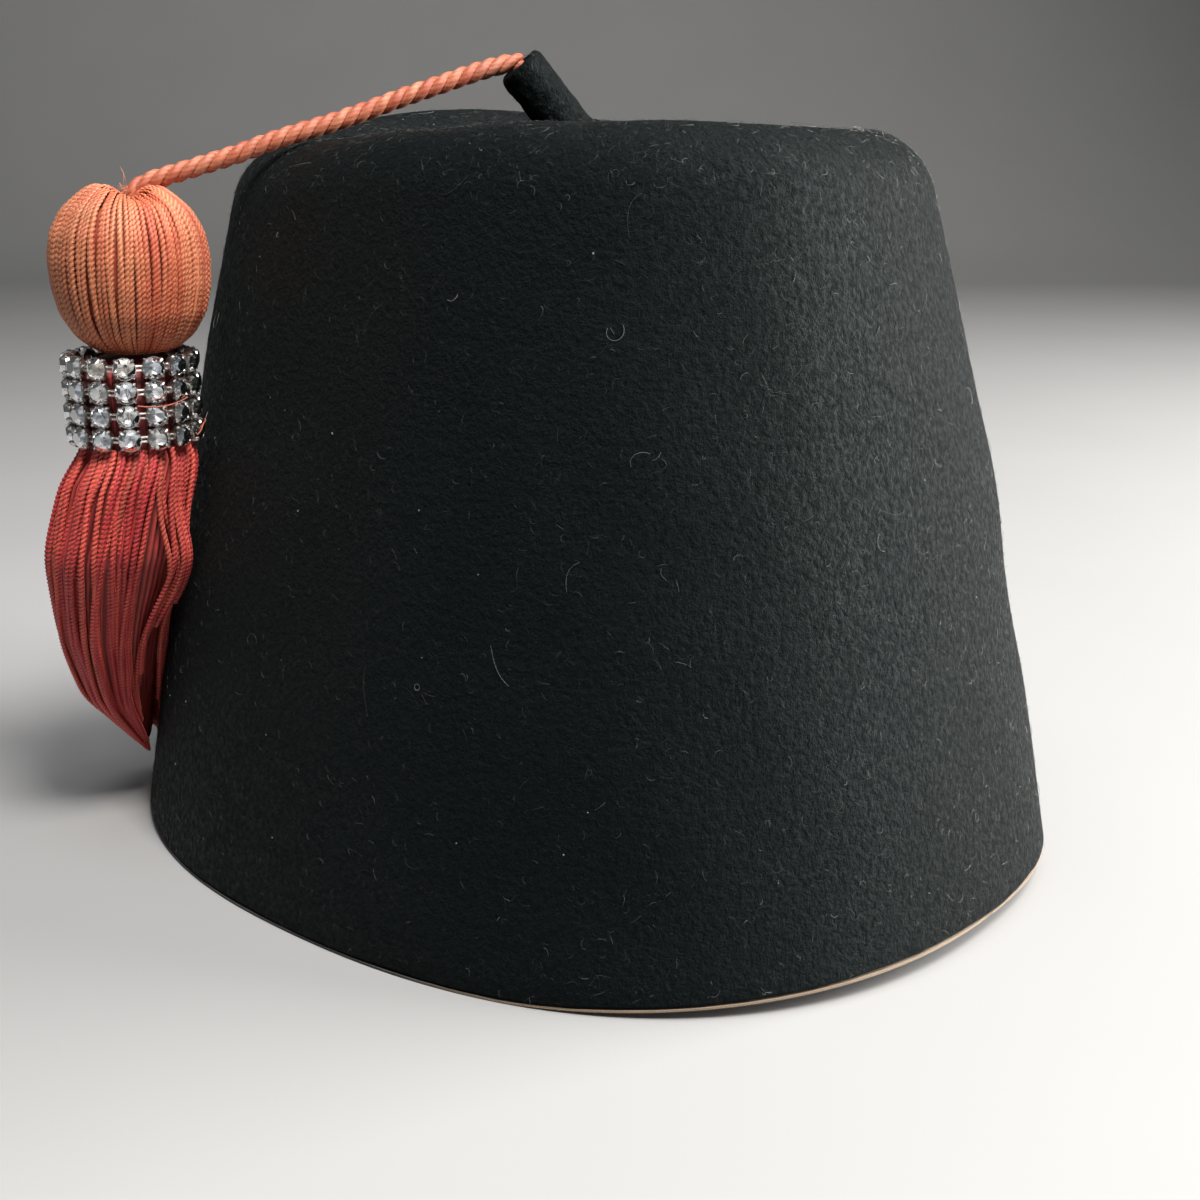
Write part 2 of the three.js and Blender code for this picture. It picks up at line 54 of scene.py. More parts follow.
# Crown
RIM_HALF_LENGTH = 100
RIM_HALF_WIDTH = 83.5
TOP_HALF_LENGTH = 74
TOP_HALF_WIDTH = 57.5
CROWN_HEIGHT = 144
TOP_EDGE_RADIUS = 14.5
FELT_WALL = 2.5
SIDE_BULGE = 1.4
TOP_SHIFT = -2.3
TOP_DISH = 1.2
RIM_END_LIFT = 4
OVAL_POWER = 2.28
RIM_REST = 0.42
RIM_LIFT_POWER = 1.3
FELT_EDGE = 0.9
SIDE_ANGLE = math.atan((RIM_HALF_LENGTH - TOP_HALF_LENGTH) / (CROWN_HEIGHT - TOP_EDGE_RADIUS))

# Tape inside the rim
TAPE_THICKNESS = 1
TAPE_WIDTH = 26
TAPE_SHOWS = 0.5
TAPE_LIP = 0.42
# Painted shade: round this middle and reach, in degrees of azimuth, the tape's lip is painted near black on
# its shaded side.
TAPE_SHADE_MIDDLE = -117
TAPE_SHADE_REACH = 56
SEAT_GAP = 0.3

# Stem
STEM_DIAMETER = 9.5
STEM_LENGTH = 16.2
STEM_LEAN = math.radians(40.4)
STEM_BORE = 3.0
BORE_DEPTH = 6
STEM_EDGE = 1.2

# Cord
PLY_RADIUS = 1.0
PLY_OFFSET = 0.88
PLY_PITCH = 8.9
PLIES = 3

# Tassel
TASSEL_AZIMUTH = math.radians(233)
HEAD_DIAMETER = 30.8
HEAD_HEIGHT = 32.8
HEAD_BASE_HEIGHT = 101.4
HEAD_WALL_GAP = 4.3
NECK_DIAMETER = 12
SKIRT_DIAMETER = 29
SKIRT_TIP_HEIGHT = 11.5
SKIRT_SWING = 29
SKIRT_WALL_GAP = 0.6
SKIRT_SETTLE = 0.25
HEAD_THREADS = 100
NOTCH_ANGLE = math.radians(108)
NOTCH_DEPTH = 2.3
CORE_SINK = 11
THREAD_RADIUS = 0.7
THREAD_PITCH = 2.0
SKIRT_STRANDS = 96
STRAND_RADIUS = 0.66
INNER_STRANDS = 52
INNER_SIDES = 5
LOCK_ANGLE = math.radians(217)
LOCK_REACH = math.radians(20)
LOCK_LOSES = 0.6
LOCK_HELD_AT = 0.36
LOCK_HELD_REACH = 0.17
STRAND_PITCH = 1.95
FADE_FROM_HEIGHT = 45
FADE_RISE = 40
NECK_THREAD_RADIUS = 0.52

# Rhinestone band
STONE_DIAMETER = 4.1
STONE_TABLE = 2.3
STONE_RISE = 0.9
CUP_DIAMETER = 4.4
CUP_DEPTH = 1.8
CUP_BACK_DIAMETER = 3.6
STONE_PITCH = 5.1
ROW_PITCH = 4.5
STONE_ROWS = 4
STONES_ROUND = 14
BAND_LAP = 1.2
BAND_TURN = math.radians(-10.3)

# Waves in the height of the top edge, as shares of the crown's height.
TOP_EDGE_WAVES = [
    {"per_turn": 1, "cosine": -0.0047, "sine": 0.0077},
    {"per_turn": 2, "cosine": 0.0042, "sine": -0.0139},
    {"per_turn": 3, "cosine": -0.0032, "sine": 0.0043},
]

# Soft dents in the side: azimuth and spread in degrees, height and rise as shares of the crown's
# height, depth as a share of the felt's wall. A negative depth is a swelling.
SIDE_DENTS = [
    {"azimuth": 35, "spread": 30, "height": 0.52, "rise": 0.09, "depth": -0.3},
    {"azimuth": 38, "spread": 26, "height": 0.35, "rise": 0.08, "depth": 0.24},
    {"azimuth": 150, "spread": 34, "height": 0.6, "rise": 0.2, "depth": 0.3},
    {"azimuth": 262, "spread": 22, "height": 0.66, "rise": 0.16, "depth": 0.22},
    {"azimuth": 318, "spread": 20, "height": 0.3, "rise": 0.18, "depth": -0.2},
]

# Outline of the tassel's head: height and radius as shares of half its height and diameter.
HEAD_OUTLINE = [
    (-1, 0.42), (-0.93, 0.56), (-0.78, 0.75), (-0.52, 0.91), (-0.2, 0.985), (0.12, 1), (0.42, 0.95),
    (0.68, 0.81), (0.87, 0.6), (0.98, 0.44), (1, 0.33), (0.95, 0.22), (0.84, 0.13),
]

# Course of the skirt: drop from its top to its tip, swing back, and half thickness and half width
# as shares of the skirt's radius.
SKIRT_COURSE = {
    "drop": [0, 0.09, 0.3, 0.56, 0.78, 0.89, 1],
    "swing": [0, 0, 0.05, 0.38, 0.68, 0.85, 1],
    "thick": [0.78, 0.93, 0.96, 0.8, 0.58, 0.34, 0.09],
    "wide": [0.78, 0.95, 1.02, 1, 0.94, 0.82, 0.66],
}

# Route of the cord (out, back, up), from the stem's mouth over the crown's shoulder into the tassel's head.
CORD_ROUTE = [
    (10.8, 1.8, 155.9), (13.9, 1.6, 155.6), (17.8, 1.2, 154.7), (22.4, 0.9, 153.3), (27.8, 0.6, 151.5),
    (35.4, 0.3, 149), (42.2, 0, 146.6), (49.3, -0.4, 144.3), (54.9, -0.6, 142.7), (60.7, -0.6, 140.9),
    (66, -0.5, 139), (70.5, -0.4, 137.6), (75.5, -0.3, 136.1), (80, -0.2, 134.8), (83.4, -0.1, 133.7),
    (86, 0, 132.2), (87.8, 0, 130.2),
]

# The side where the nap is painted paler as painted light, where the key light falls, in degrees of azimuth.
LIT_NAP_MIDDLE = 22
LIT_NAP_REACH = 46

# Grain of the felt, and how deep its two bumps go in metres.
FINE_BUMP = 0.0005
COARSE_BUMP = 0.0012
FIBRES_PER_METRE = 4200
CLUMPS_PER_METRE = 820
PATCHES_PER_METRE = 45

# Fineness of the meshes.
CROWN_COLUMNS = 320
SIDE_ROWS = 44
EDGE_ROWS = 14
TOP_ROWS = 14
LINING_ROWS = 22
STEM_COLUMNS = 64
HEAD_STEPS = 250
SKIRT_STEPS = 262
NECK_STEPS = 34
STRAND_SIDES = 6
CORD_SIDES = 14

# Loose fibres and specks.
NECK_THREADS = 44
FRAYED_ENDS = 26
LINT_CURLS = 95
LINT_STEPS = 18
LINT_SIDES = 5
LINT_SPECKS = 110
NAP_STEPS = 5
FRAYED_STEPS = 12
FRAYED_SIDES = 5
LEAST_HEIGHT = 0.06


# Meshes

def make_piece(name, points, faces, material, attributes=None, smooth=True):
    """A joined mesh from points in millimetres and lists of three- and four-cornered faces."""
    mesh = bpy.data.meshes.new(name)
    mesh.vertices.add(len(points))
    mesh.vertices.foreach_set("co", (np.asarray(points) * MM + RIM_MIDDLE).ravel())
    corners = np.concatenate([block.ravel() for block in faces])
    sizes = np.concatenate([np.full(len(block), block.shape[1]) for block in faces])
    mesh.loops.add(len(corners))
    mesh.loops.foreach_set("vertex_index", corners.astype(np.int32))
    mesh.polygons.add(len(sizes))
    starts = np.concatenate([[0], np.cumsum(sizes)[:-1]])
    mesh.polygons.foreach_set("loop_start", starts.astype(np.int32))
    mesh.polygons.foreach_set("use_smooth", np.full(len(sizes), smooth))
    for title, values in (attributes or {}).items():
        values = np.asarray(values, np.float32)
        kind = "FLOAT_VECTOR" if values.ndim == 2 else "FLOAT"
        layer = mesh.attributes.new(title, kind, "POINT")
        layer.data.foreach_set("vector" if values.ndim == 2 else "value", values.ravel())
    mesh.update(calc_edges=True)
    mesh.validate()
    mesh.materials.append(material)
    piece = bpy.data.objects.new(name, mesh)
    bpy.context.scene.collection.objects.link(piece)
    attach(piece, "root")
    return piece


def grid_faces(rows, columns):
    """Quads between rings of points, each ring closed on itself."""
    row, column = np.meshgrid(np.arange(rows - 1), np.arange(columns), indexing="ij")
    here = row * columns
    after = (column + 1) % columns
    quads = np.stack([here + column, here + after, here + columns + after, here + columns + column], -1)
    return quads.reshape(-1, 4)


def fan_faces(ring_start, columns, middle):
    """Triangles from a ring of points to a middle point."""
    column = np.arange(columns)
    after = (column + 1) % columns
    return np.stack([ring_start + column, ring_start + after, np.full(columns, middle)], -1)


def capped(grid, outward=True):
    """Rings of points, closed at both ends by a middle point: all points and the faces."""
    rows, columns = grid.shape[:2]
    count = rows * columns
    points = np.concatenate([grid.reshape(-1, 3), grid[:1].mean(1), grid[-1:].mean(1)])
    sides = grid_faces(rows, columns)
    first = fan_faces(0, columns, count)
    last = fan_faces(count - columns, columns, count + 1)
    if outward:
        return points, [sides, first[:, ::-1], last]
    return points, [sides[:, ::-1], first, last[:, ::-1]]


def gather(parts):
    """Joins (points, faces, attributes) of several bodies into one."""
    points, faces, layers, count = [], [], {}, 0
    for some_points, some_faces, some_layers in parts:
        points.append(some_points)
        faces.extend(block + count for block in some_faces)
        for title, values in some_layers.items():
            layers.setdefault(title, []).append(values)
        count += len(some_points)
    return np.concatenate(points), faces, {t: np.concatenate(v) for t, v in layers.items()}


def turns(count):
    """Even angles round a full turn."""
    return FULL_TURN * np.arange(count) / count


def uneven_turns(count, spread, draw):
    """Angles round a full turn, each a little off its even place."""
    return FULL_TURN * (np.arange(count) + draw.normal(0, spread, count)) / count


def unit(vectors):
    return vectors / np.maximum(np.linalg.norm(vectors, axis=-1, keepdims=True), 1e-9)


def ripple(points, wavelength, seed, waves=14):
    """Soft noise of about -1 to 1 at points, from waves in seeded directions."""
    draw = np.random.default_rng(seed)
    directions = unit(draw.normal(size=(waves, 3))) * (FULL_TURN / wavelength)
    directions = directions * draw.uniform(0.6, 1.5, (waves, 1))
    offsets = draw.uniform(0, FULL_TURN, waves)
    return np.sin(points @ directions.T + offsets).sum(-1) / math.sqrt(waves)


def follow(paths):
    """Directions along paths (n, m, 3), two directions square to them that don't spin, and lengths."""
    ahead = unit(np.gradient(paths, axis=1))
    aside = np.empty_like(paths)
    helper = np.where(np.abs(ahead[:, :1, 2:]) > 0.8, [[[1.0, 0, 0]]], [[[0, 0, 1.0]]])
    aside[:, 0] = unit(np.cross(helper, ahead[:, :1]))[:, 0]
    for step in range(1, paths.shape[1]):
        before = aside[:, step - 1]
        along = (before * ahead[:, step]).sum(-1, keepdims=True)
        aside[:, step] = unit(before - along * ahead[:, step])
    above = np.cross(ahead, aside)
    pace = np.linalg.norm(np.diff(paths, axis=1), axis=-1)
    lengths = np.concatenate([np.zeros((len(paths), 1)), np.cumsum(pace, axis=1)], axis=1)
    return ahead, aside, above, lengths


def sweep(paths, radii, sides, plies=1, waist=1.0, pitch=1.0, phases=None):
    """Twisted strands along paths (n, m, 3): points, faces and where each point lies in its strand."""
    count, steps = paths.shape[:2]
    _, aside, above, lengths = follow(paths)
    turn = turns(sides)
    starts = np.zeros(count) if phases is None else phases
    twist = FULL_TURN * lengths / pitch + starts[:, None]
    local = turn[None, None, :] - twist[:, :, None]
    lobe = np.abs(np.cos(plies / 2 * local)) if plies > 1 else np.ones_like(local)
    reach = radii[:, :, None] * (waist + (1 - waist) * lobe)
    across = np.cos(turn)[None, None, :, None] * aside[:, :, None]
    ring = across + np.sin(turn)[None, None, :, None] * above[:, :, None]
    points = paths[:, :, None] + reach[..., None] * ring
    place = np.stack([reach * np.cos(local), reach * np.sin(local),
                      np.broadcast_to(lengths[:, :, None], reach.shape)], -1)
    block = grid_faces(steps, sides)
    quads = (block[None] + (np.arange(count) * steps * sides)[:, None, None]).reshape(-1, 4)
    # The groove value is low in the valleys between the plies, where the thread material paints shade.
    layers = {"thread": place.reshape(-1, 3), "groove_shade": lobe.ravel()}
    return points.reshape(-1, 3), [quads], layers


def every_other(title):
    """Two pieces that share a set of strands: their names and which strands each takes."""
    return (title + "_a", slice(0, None, 2)), (title + "_b", slice(1, None, 2))


def per_point(values, steps, sides):
    """Spreads one value per strand over all its points."""
    return np.repeat(values, steps * sides)


# Forms of the felt and the places of the tassel's pieces

def hang(out, back, up):
    c, s = math.cos(TASSEL_AZIMUTH), math.sin(TASSEL_AZIMUTH)
    out, back, up = np.broadcast_arrays(out, back, up)
    return np.stack([out * c + back * s, out * s - back * c, up], -1).astype(float)


def hang_round(out, size, turn, up):
    """Points at a radius and angle round an upright line that lies out from the crown's axis."""
    return hang(out + size * np.cos(turn), size * np.sin(turn), up)


def oval_point(turn, half_length, half_width):
    c, s = np.cos(turn), np.sin(turn)
    return (half_length * np.sign(c) * np.abs(c) ** (2 / OVAL_POWER),
            half_width * np.sign(s) * np.abs(s) ** (2 / OVAL_POWER))


def rim_lift(turn):
    past = np.maximum(0, (np.abs(np.cos(turn)) - RIM_REST) / (1 - RIM_REST))
    return RIM_END_LIFT * past ** RIM_LIFT_POWER


def top_wave(turn):
    wave = sum(row["cosine"] * np.cos(row["per_turn"] * turn) + row["sine"] * np.sin(row["per_turn"] * turn)
               for row in TOP_EDGE_WAVES)
    return wave * CROWN_HEIGHT


def dent(turn, height):
    depth = 0
    for row in SIDE_DENTS:
        aside = (np.degrees(turn) - row["azimuth"] + 180) % 360 - 180
        above = height / CROWN_HEIGHT - row["height"]
        shape = np.exp(-(aside / row["spread"]) ** 2 - (above / row["rise"]) ** 2)
        depth = depth + row["depth"] * FELT_WALL * shape
    return depth


def side_size(share, inset):
    bulge = SIDE_BULGE * np.sin(math.pi * share) - inset / math.cos(SIDE_ANGLE)
    curve = TOP_EDGE_RADIUS * (1 - math.cos(SIDE_ANGLE))
    return (RIM_HALF_LENGTH + (TOP_HALF_LENGTH - curve - RIM_HALF_LENGTH) * share + bulge,
            RIM_HALF_WIDTH + (TOP_HALF_WIDTH - curve - RIM_HALF_WIDTH) * share + bulge)


def side_top(inset):
    return CROWN_HEIGHT - TOP_EDGE_RADIUS + (TOP_EDGE_RADIUS - inset) * math.sin(SIDE_ANGLE)


def side_point(turn, share, inset, lift=0):
    """A point of the crown's side; the lift raises the felt's edge above the tape's."""
    height = share * side_top(inset)
    half_length, half_width = side_size(share, inset)
    depth = dent(turn, height)
    x, y = oval_point(turn, half_length - depth, half_width - depth)
    z = height + (rim_lift(turn) + lift) * (1 - share) + top_wave(turn) * share * share
    return np.stack(np.broadcast_arrays(x + TOP_SHIFT * share, y, z), -1)


def edge_point(turn, angle, inset):
    reach = (TOP_EDGE_RADIUS - inset) * np.cos(angle) - TOP_EDGE_RADIUS
    depth = dent(turn, CROWN_HEIGHT - TOP_EDGE_RADIUS) * np.cos(angle)
    x, y = oval_point(turn, TOP_HALF_LENGTH + reach - depth, TOP_HALF_WIDTH + reach - depth)
    rise = CROWN_HEIGHT - TOP_EDGE_RADIUS + (TOP_EDGE_RADIUS - inset) * np.sin(angle)
    return np.stack(np.broadcast_arrays(x + TOP_SHIFT, y, rise + top_wave(turn)), -1)


def top_point(turn, share, inset):
    x, y = oval_point(turn, (TOP_HALF_LENGTH - TOP_EDGE_RADIUS) * share,
                      (TOP_HALF_WIDTH - TOP_EDGE_RADIUS) * share)
    dished = TOP_DISH * (1 - share * share)
    z = CROWN_HEIGHT - inset - dished + top_wave(turn) * share ** 3
    return np.stack(np.broadcast_arrays(x + TOP_SHIFT, y, z), -1)


def wall_out(back, up):
    """How far out the crown's outer face lies at a distance back and a height."""
    back, up = np.broadcast_arrays(np.asarray(back, float), np.asarray(up, float))
    out = np.full(back.shape, RIM_HALF_LENGTH / 2)
    share = np.clip(up / side_top(0), 0, 1)
    half_length, half_width = side_size(share, 0)
    for _ in range(24):
        place = hang(out, back, up)
        x = np.abs(place[..., 0] - TOP_SHIFT * share) / half_length
        y = np.abs(place[..., 1]) / half_width
        out = out / (x ** OVAL_POWER + y ** OVAL_POWER) ** (1 / OVAL_POWER)
    return out


def skirt_course(name, drop):
    return np.interp(drop, SKIRT_COURSE["drop"], SKIRT_COURSE[name])


HEAD_MIDDLE_HEIGHT = HEAD_BASE_HEIGHT + HEAD_HEIGHT / 2
HEAD_OUT = float(wall_out(0, HEAD_MIDDLE_HEIGHT)) + HEAD_WALL_GAP + HEAD_DIAMETER / 2
NECK_TOP = HEAD_BASE_HEIGHT - SEAT_GAP
BAND_TOP = NECK_TOP + BAND_LAP
BAND_BOTTOM = BAND_TOP - (STONE_ROWS - 1) * ROW_PITCH - CUP_DIAMETER
CUP_RING_RADIUS = STONES_ROUND * STONE_PITCH / FULL_TURN
BAND_OUTER_RADIUS = CUP_RING_RADIUS + CUP_DEPTH / 2 + STONE_RISE
BAND_INNER_RADIUS = CUP_RING_RADIUS - CUP_DEPTH / 2
BAND_OUT = max(HEAD_OUT, float(wall_out(0, BAND_BOTTOM)) + SEAT_GAP + BAND_OUTER_RADIUS)


# Materials

def add_node(tree, kind, inputs=None, **settings):
    node = tree.nodes.new(kind)
    for title, value in settings.items():
        setattr(node, title, value)
    for socket, value in (inputs or {}).items():
        if isinstance(value, bpy.types.NodeSocket):
            tree.links.new(value, node.inputs[socket])
        else:
            node.inputs[socket].default_value = value
    return node


def new_material(name, sockets):
    made = bpy.data.materials.new(name)
    made.use_nodes = True
    surface = made.node_tree.nodes["Principled BSDF"]
    for socket, value in sockets.items():
        surface.inputs[socket].default_value = value
    return made, made.node_tree, surface


def blend_colours(tree, share, low, high):
    """Colour between two others, either of them a colour or a socket."""
    return add_node(tree, "ShaderNodeMix", {0: share, 6: low, 7: high}, data_type="RGBA").outputs[2]


def stretch(tree, value, low, high, least=0.0, most=1.0):
    """Value brought from low..high to least..most."""
    limits = {"Value": value, "From Min": low, "From Max": high, "To Min": least, "To Max": most}
    return add_node(tree, "ShaderNodeMapRange", limits).outputs[0]


def noise(tree, vector, scale, detail=2.0, rough=0.5):
    return add_node(tree, "ShaderNodeTexNoise", {"Vector": vector, "Scale": scale, "Detail": detail,
                                                 "Roughness": rough}).outputs["Fac"]


def multiply_colours(tree, first, second):
    return add_node(tree, "ShaderNodeMix", {0: 1.0, 6: first, 7: second},
                    data_type="RGBA", blend_type="MULTIPLY").outputs[2]


def stored(tree, title, output="Fac"):
    """A value that is kept on the mesh's points."""
    return add_node(tree, "ShaderNodeAttribute", attribute_name=title).outputs[output]


def rgb(red, green, blue):
    return (red, green, blue, 1.0)


def felt_material(name, deep, lit):
    made, tree, surface = new_material(name, {
        "Roughness": 0.58, "Specular IOR Level": 0.075, "Specular Tint": rgb(0.74, 0.96, 0.96),
        "Sheen Weight": 0.02, "Sheen Roughness": 0.5,
        "Sheen Tint": rgb(0.62, 0.68, 0.7)})
    place = add_node(tree, "ShaderNodeTexCoord").outputs["Object"]
    fibres = noise(tree, place, FIBRES_PER_METRE, 3.0, 0.7)
    clumps = noise(tree, place, CLUMPS_PER_METRE, 5.0, 0.62)
    patches = noise(tree, place, PATCHES_PER_METRE, 3.0, 0.5)
    flecks = stretch(tree, fibres, 0.52, 0.74)
    colour = blend_colours(tree, flecks, deep, lit)
    shade = blend_colours(tree, stretch(tree, patches, 0.3, 0.7),
                          rgb(0.72, 0.72, 0.74), rgb(1.15, 1.15, 1.12))
    tree.links.new(multiply_colours(tree, colour, shade), surface.inputs["Base Color"])
    fine = add_node(tree, "ShaderNodeBump", {"Height": fibres, "Strength": 0.9, "Distance": FINE_BUMP})
    coarse = add_node(tree, "ShaderNodeBump", {"Height": clumps, "Strength": 1.0, "Distance": COARSE_BUMP,
                                               "Normal": fine.outputs[0]})
    tree.links.new(coarse.outputs[0], surface.inputs["Normal"])
    tree.links.new(stretch(tree, clumps, 0.38, 0.62, 0.42, 0.8), surface.inputs["Roughness"])
    return made


def fibre_material(name, low, high):
    """Loose fibres, each with its own shade between two colours."""
    made, tree, surface = new_material(name, {"Roughness": 0.8, "Specular IOR Level": 0.3})
    tint = stored(tree, "tint")
    tree.links.new(blend_colours(tree, tint, low, high), surface.inputs["Base Color"])
    return made


def thread_material(name, groove_shade_colour, low, high, faded, sheen):
    """Shiny twisted thread with painted shade in its grooves, streaked, each strand in a tone of its own."""
    made, tree, surface = new_material(name, {
        "Roughness": 0.5, "Specular IOR Level": 0.45, "Sheen Weight": sheen, "Sheen Roughness": 0.4,
        "Sheen Tint": rgb(1.0, 0.72, 0.58)})
    tint = stored(tree, "tint")
    fade_and_shade = stored(tree, "fade_and_shade")
    groove_shade = stored(tree, "groove_shade")
    place = stored(tree, "thread", "Vector")
    drawn = add_node(tree, "ShaderNodeVectorMath", {0: place, 1: (1.0, 1.0, 0.22)}, operation="MULTIPLY")
    streaks = noise(tree, drawn.outputs[0], 5.5, 3.0, 0.6)
    colour = blend_colours(tree, tint, low, high)
    colour = blend_colours(tree, fade_and_shade, colour, faded)
    streaked = blend_colours(tree, stretch(tree, streaks, 0.3, 0.75),
                             rgb(0.7, 0.66, 0.64), rgb(1.2, 1.18, 1.15))
    drawn_out = multiply_colours(tree, colour, streaked)
    # Painted shade: the base colour darkens to the groove shade colour in the valleys between the plies.
    shown = blend_colours(tree, stretch(tree, groove_shade, 0.1, 0.85), groove_shade_colour, drawn_out)
    tree.links.new(shown, surface.inputs["Base Color"])
    bump = add_node(tree, "ShaderNodeBump", {"Height": streaks, "Strength": 0.5, "Distance": 0.0002})
    tree.links.new(bump.outputs[0], surface.inputs["Normal"])
    return made


def tape_material():
    made, tree, surface = new_material("tan_tape_weave", {
        "Roughness": 0.85, "Sheen Weight": 0.15, "Sheen Roughness": 0.5})
    place = stored(tree, "thread", "Vector")
    ribs = add_node(tree, "ShaderNodeTexWave", {"Vector": place, "Scale": 0.42, "Distortion": 0.6,
                                                "Detail": 2.0, "Detail Scale": 3.0},
                    wave_type="BANDS", bands_direction="X").outputs["Fac"]
    across = add_node(tree, "ShaderNodeTexWave", {"Vector": place, "Scale": 0.8, "Distortion": 0.8},
                      wave_type="BANDS", bands_direction="Y").outputs["Fac"]
    worn = noise(tree, place, 0.06, 3.0, 0.6)
    weave = add_node(tree, "ShaderNodeMath", {0: ribs, 1: across}, operation="MULTIPLY").outputs[0]
    colour = blend_colours(tree, weave, rgb(0.15, 0.1, 0.06), rgb(0.42, 0.32, 0.21))
    colour = blend_colours(tree, stretch(tree, worn, 0.45, 0.8), colour, rgb(0.22, 0.15, 0.1))
    # Painted shade: the tape turns near black where the mesh marks its shaded side.
    tape_shade = stored(tree, "fade_and_shade")
    colour = blend_colours(tree, tape_shade, colour, rgb(0.004, 0.004, 0.004))
    tree.links.new(colour, surface.inputs["Base Color"])
    bump = add_node(tree, "ShaderNodeBump", {"Height": weave, "Strength": 0.7, "Distance": 0.0004})
    tree.links.new(bump.outputs[0], surface.inputs["Normal"])
    return made


def silver_material():
    made, tree, surface = new_material("silver_setting", {"Metallic": 1.0, "Roughness": 0.24})
    place = add_node(tree, "ShaderNodeTexCoord").outputs["Object"]
    tarnish = noise(tree, place, 700, 3.0, 0.6)
    colour = blend_colours(tree, stretch(tree, tarnish, 0.45, 0.75),
                           rgb(0.66, 0.65, 0.63), rgb(0.2, 0.17, 0.14))
    tree.links.new(colour, surface.inputs["Base Color"])
    tree.links.new(stretch(tree, tarnish, 0.3, 0.8, 0.2, 0.5), surface.inputs["Roughness"])
    return made


def stone_material():
    """Clear glass over the foil."""
    made, tree, surface = new_material("clear_stone", {
        "Roughness": 0.02, "IOR": 1.56, "Transmission Weight": 1.0, "Specular IOR Level": 0.6})
    tint = stored(tree, "tint")
    colour = blend_colours(tree, tint, rgb(0.9, 0.94, 1.0), rgb(1.0, 0.97, 0.93))
    tree.links.new(colour, surface.inputs["Base Color"])
    return made


def foil_material():
    made, tree, surface = new_material("stone_foil", {"Metallic": 1.0, "Roughness": 0.34})
    tint = stored(tree, "tint")
    colour = blend_colours(tree, tint, rgb(0.93, 0.96, 1.0), rgb(0.97, 0.94, 0.88))
    tree.links.new(colour, surface.inputs["Base Color"])
    return made


black_felt = felt_material("black_wool_felt", rgb(0.0002, 0.0008, 0.001), rgb(0.013, 0.017, 0.016))
stem_felt = felt_material("stem_wool_felt", rgb(0.0003, 0.0007, 0.0008), rgb(0.0035, 0.005, 0.0055))
nap_wool = fibre_material("felt_nap", rgb(0.0006, 0.0014, 0.0017), rgb(0.32, 0.34, 0.315))
pale_lint = fibre_material("pale_lint", rgb(0.025, 0.028, 0.026), rgb(0.2, 0.2, 0.18))
cord_rayon = thread_material("coral_cord_rayon", rgb(0.13, 0.013, 0.007), rgb(0.34, 0.075, 0.036),
                             rgb(0.47, 0.155, 0.082), rgb(0.56, 0.3, 0.19), sheen=0.1)
head_rayon = thread_material("coral_thread_rayon", rgb(0.17, 0.015, 0.008), rgb(0.54, 0.11, 0.05),
                             rgb(0.72, 0.25, 0.12), rgb(0.42, 0.18, 0.08), sheen=0.1)
skirt_rayon = thread_material("red_thread_rayon", rgb(0.1, 0.006, 0.006), rgb(0.5, 0.032, 0.042),
                              rgb(0.74, 0.115, 0.078), rgb(0.42, 0.15, 0.08), sheen=0.08)
tan_tape = tape_material()
silver = silver_material()
clear_stone = stone_material()
foil = foil_material()


# Camera. Its place and turn were fitted to the hat's outline, about the middle of the rim.
CAMERA_PLACE = (0.2157, -0.2520, 0.1423)
CAMERA_TILT = math.radians(73.78)
CAMERA_TURN = math.radians(39.85)
CAMERA_LENS = 48

lens = bpy.data.cameras.new("camera")
lens.lens = CAMERA_LENS
lens.sensor_width = 36
lens.clip_start = 0.01
camera = bpy.data.objects.new("camera", lens)
camera.location = Vector(CAMERA_PLACE) + Vector(RIM_MIDDLE)
camera.rotation_euler = (CAMERA_TILT, 0, CAMERA_TURN)
bpy.context.scene.collection.objects.link(camera)
bpy.context.scene.camera = camera


# Cord

def smooth_route(points, spacing):
    """Centripetal curve through the points, at even steps."""
    ends = np.concatenate([[2 * points[0] - points[1]], points, [2 * points[-1] - points[-2]]])
    curve = []
    for a, b, c, d in zip(ends, ends[1:], ends[2:], ends[3:]):
        t0 = 0.0
        t1 = t0 + math.sqrt(np.linalg.norm(b - a))
        t2 = t1 + math.sqrt(np.linalg.norm(c - b))
        t3 = t2 + math.sqrt(np.linalg.norm(d - c))
        t = np.linspace(t1, t2, 24, endpoint=False)[:, None]
        ab = (t1 - t) / (t1 - t0) * a + (t - t0) / (t1 - t0) * b
        bc = (t2 - t) / (t2 - t1) * b + (t - t1) / (t2 - t1) * c
        cd = (t3 - t) / (t3 - t2) * c + (t - t2) / (t3 - t2) * d
        abc = (t2 - t) / (t2 - t0) * ab + (t - t0) / (t2 - t0) * bc
        bcd = (t3 - t) / (t3 - t1) * bc + (t - t1) / (t3 - t1) * cd
        curve.append((t2 - t) / (t2 - t1) * abc + (t - t1) / (t2 - t1) * bcd)
    curve = np.concatenate([*curve, points[-1:]])
    travelled = np.concatenate([[0], np.cumsum(np.linalg.norm(np.diff(curve, axis=0), axis=1))])
    even = np.arange(0, travelled[-1], spacing)
    return np.stack([np.interp(even, travelled, curve[:, i]) for i in range(3)], -1), travelled[-1]


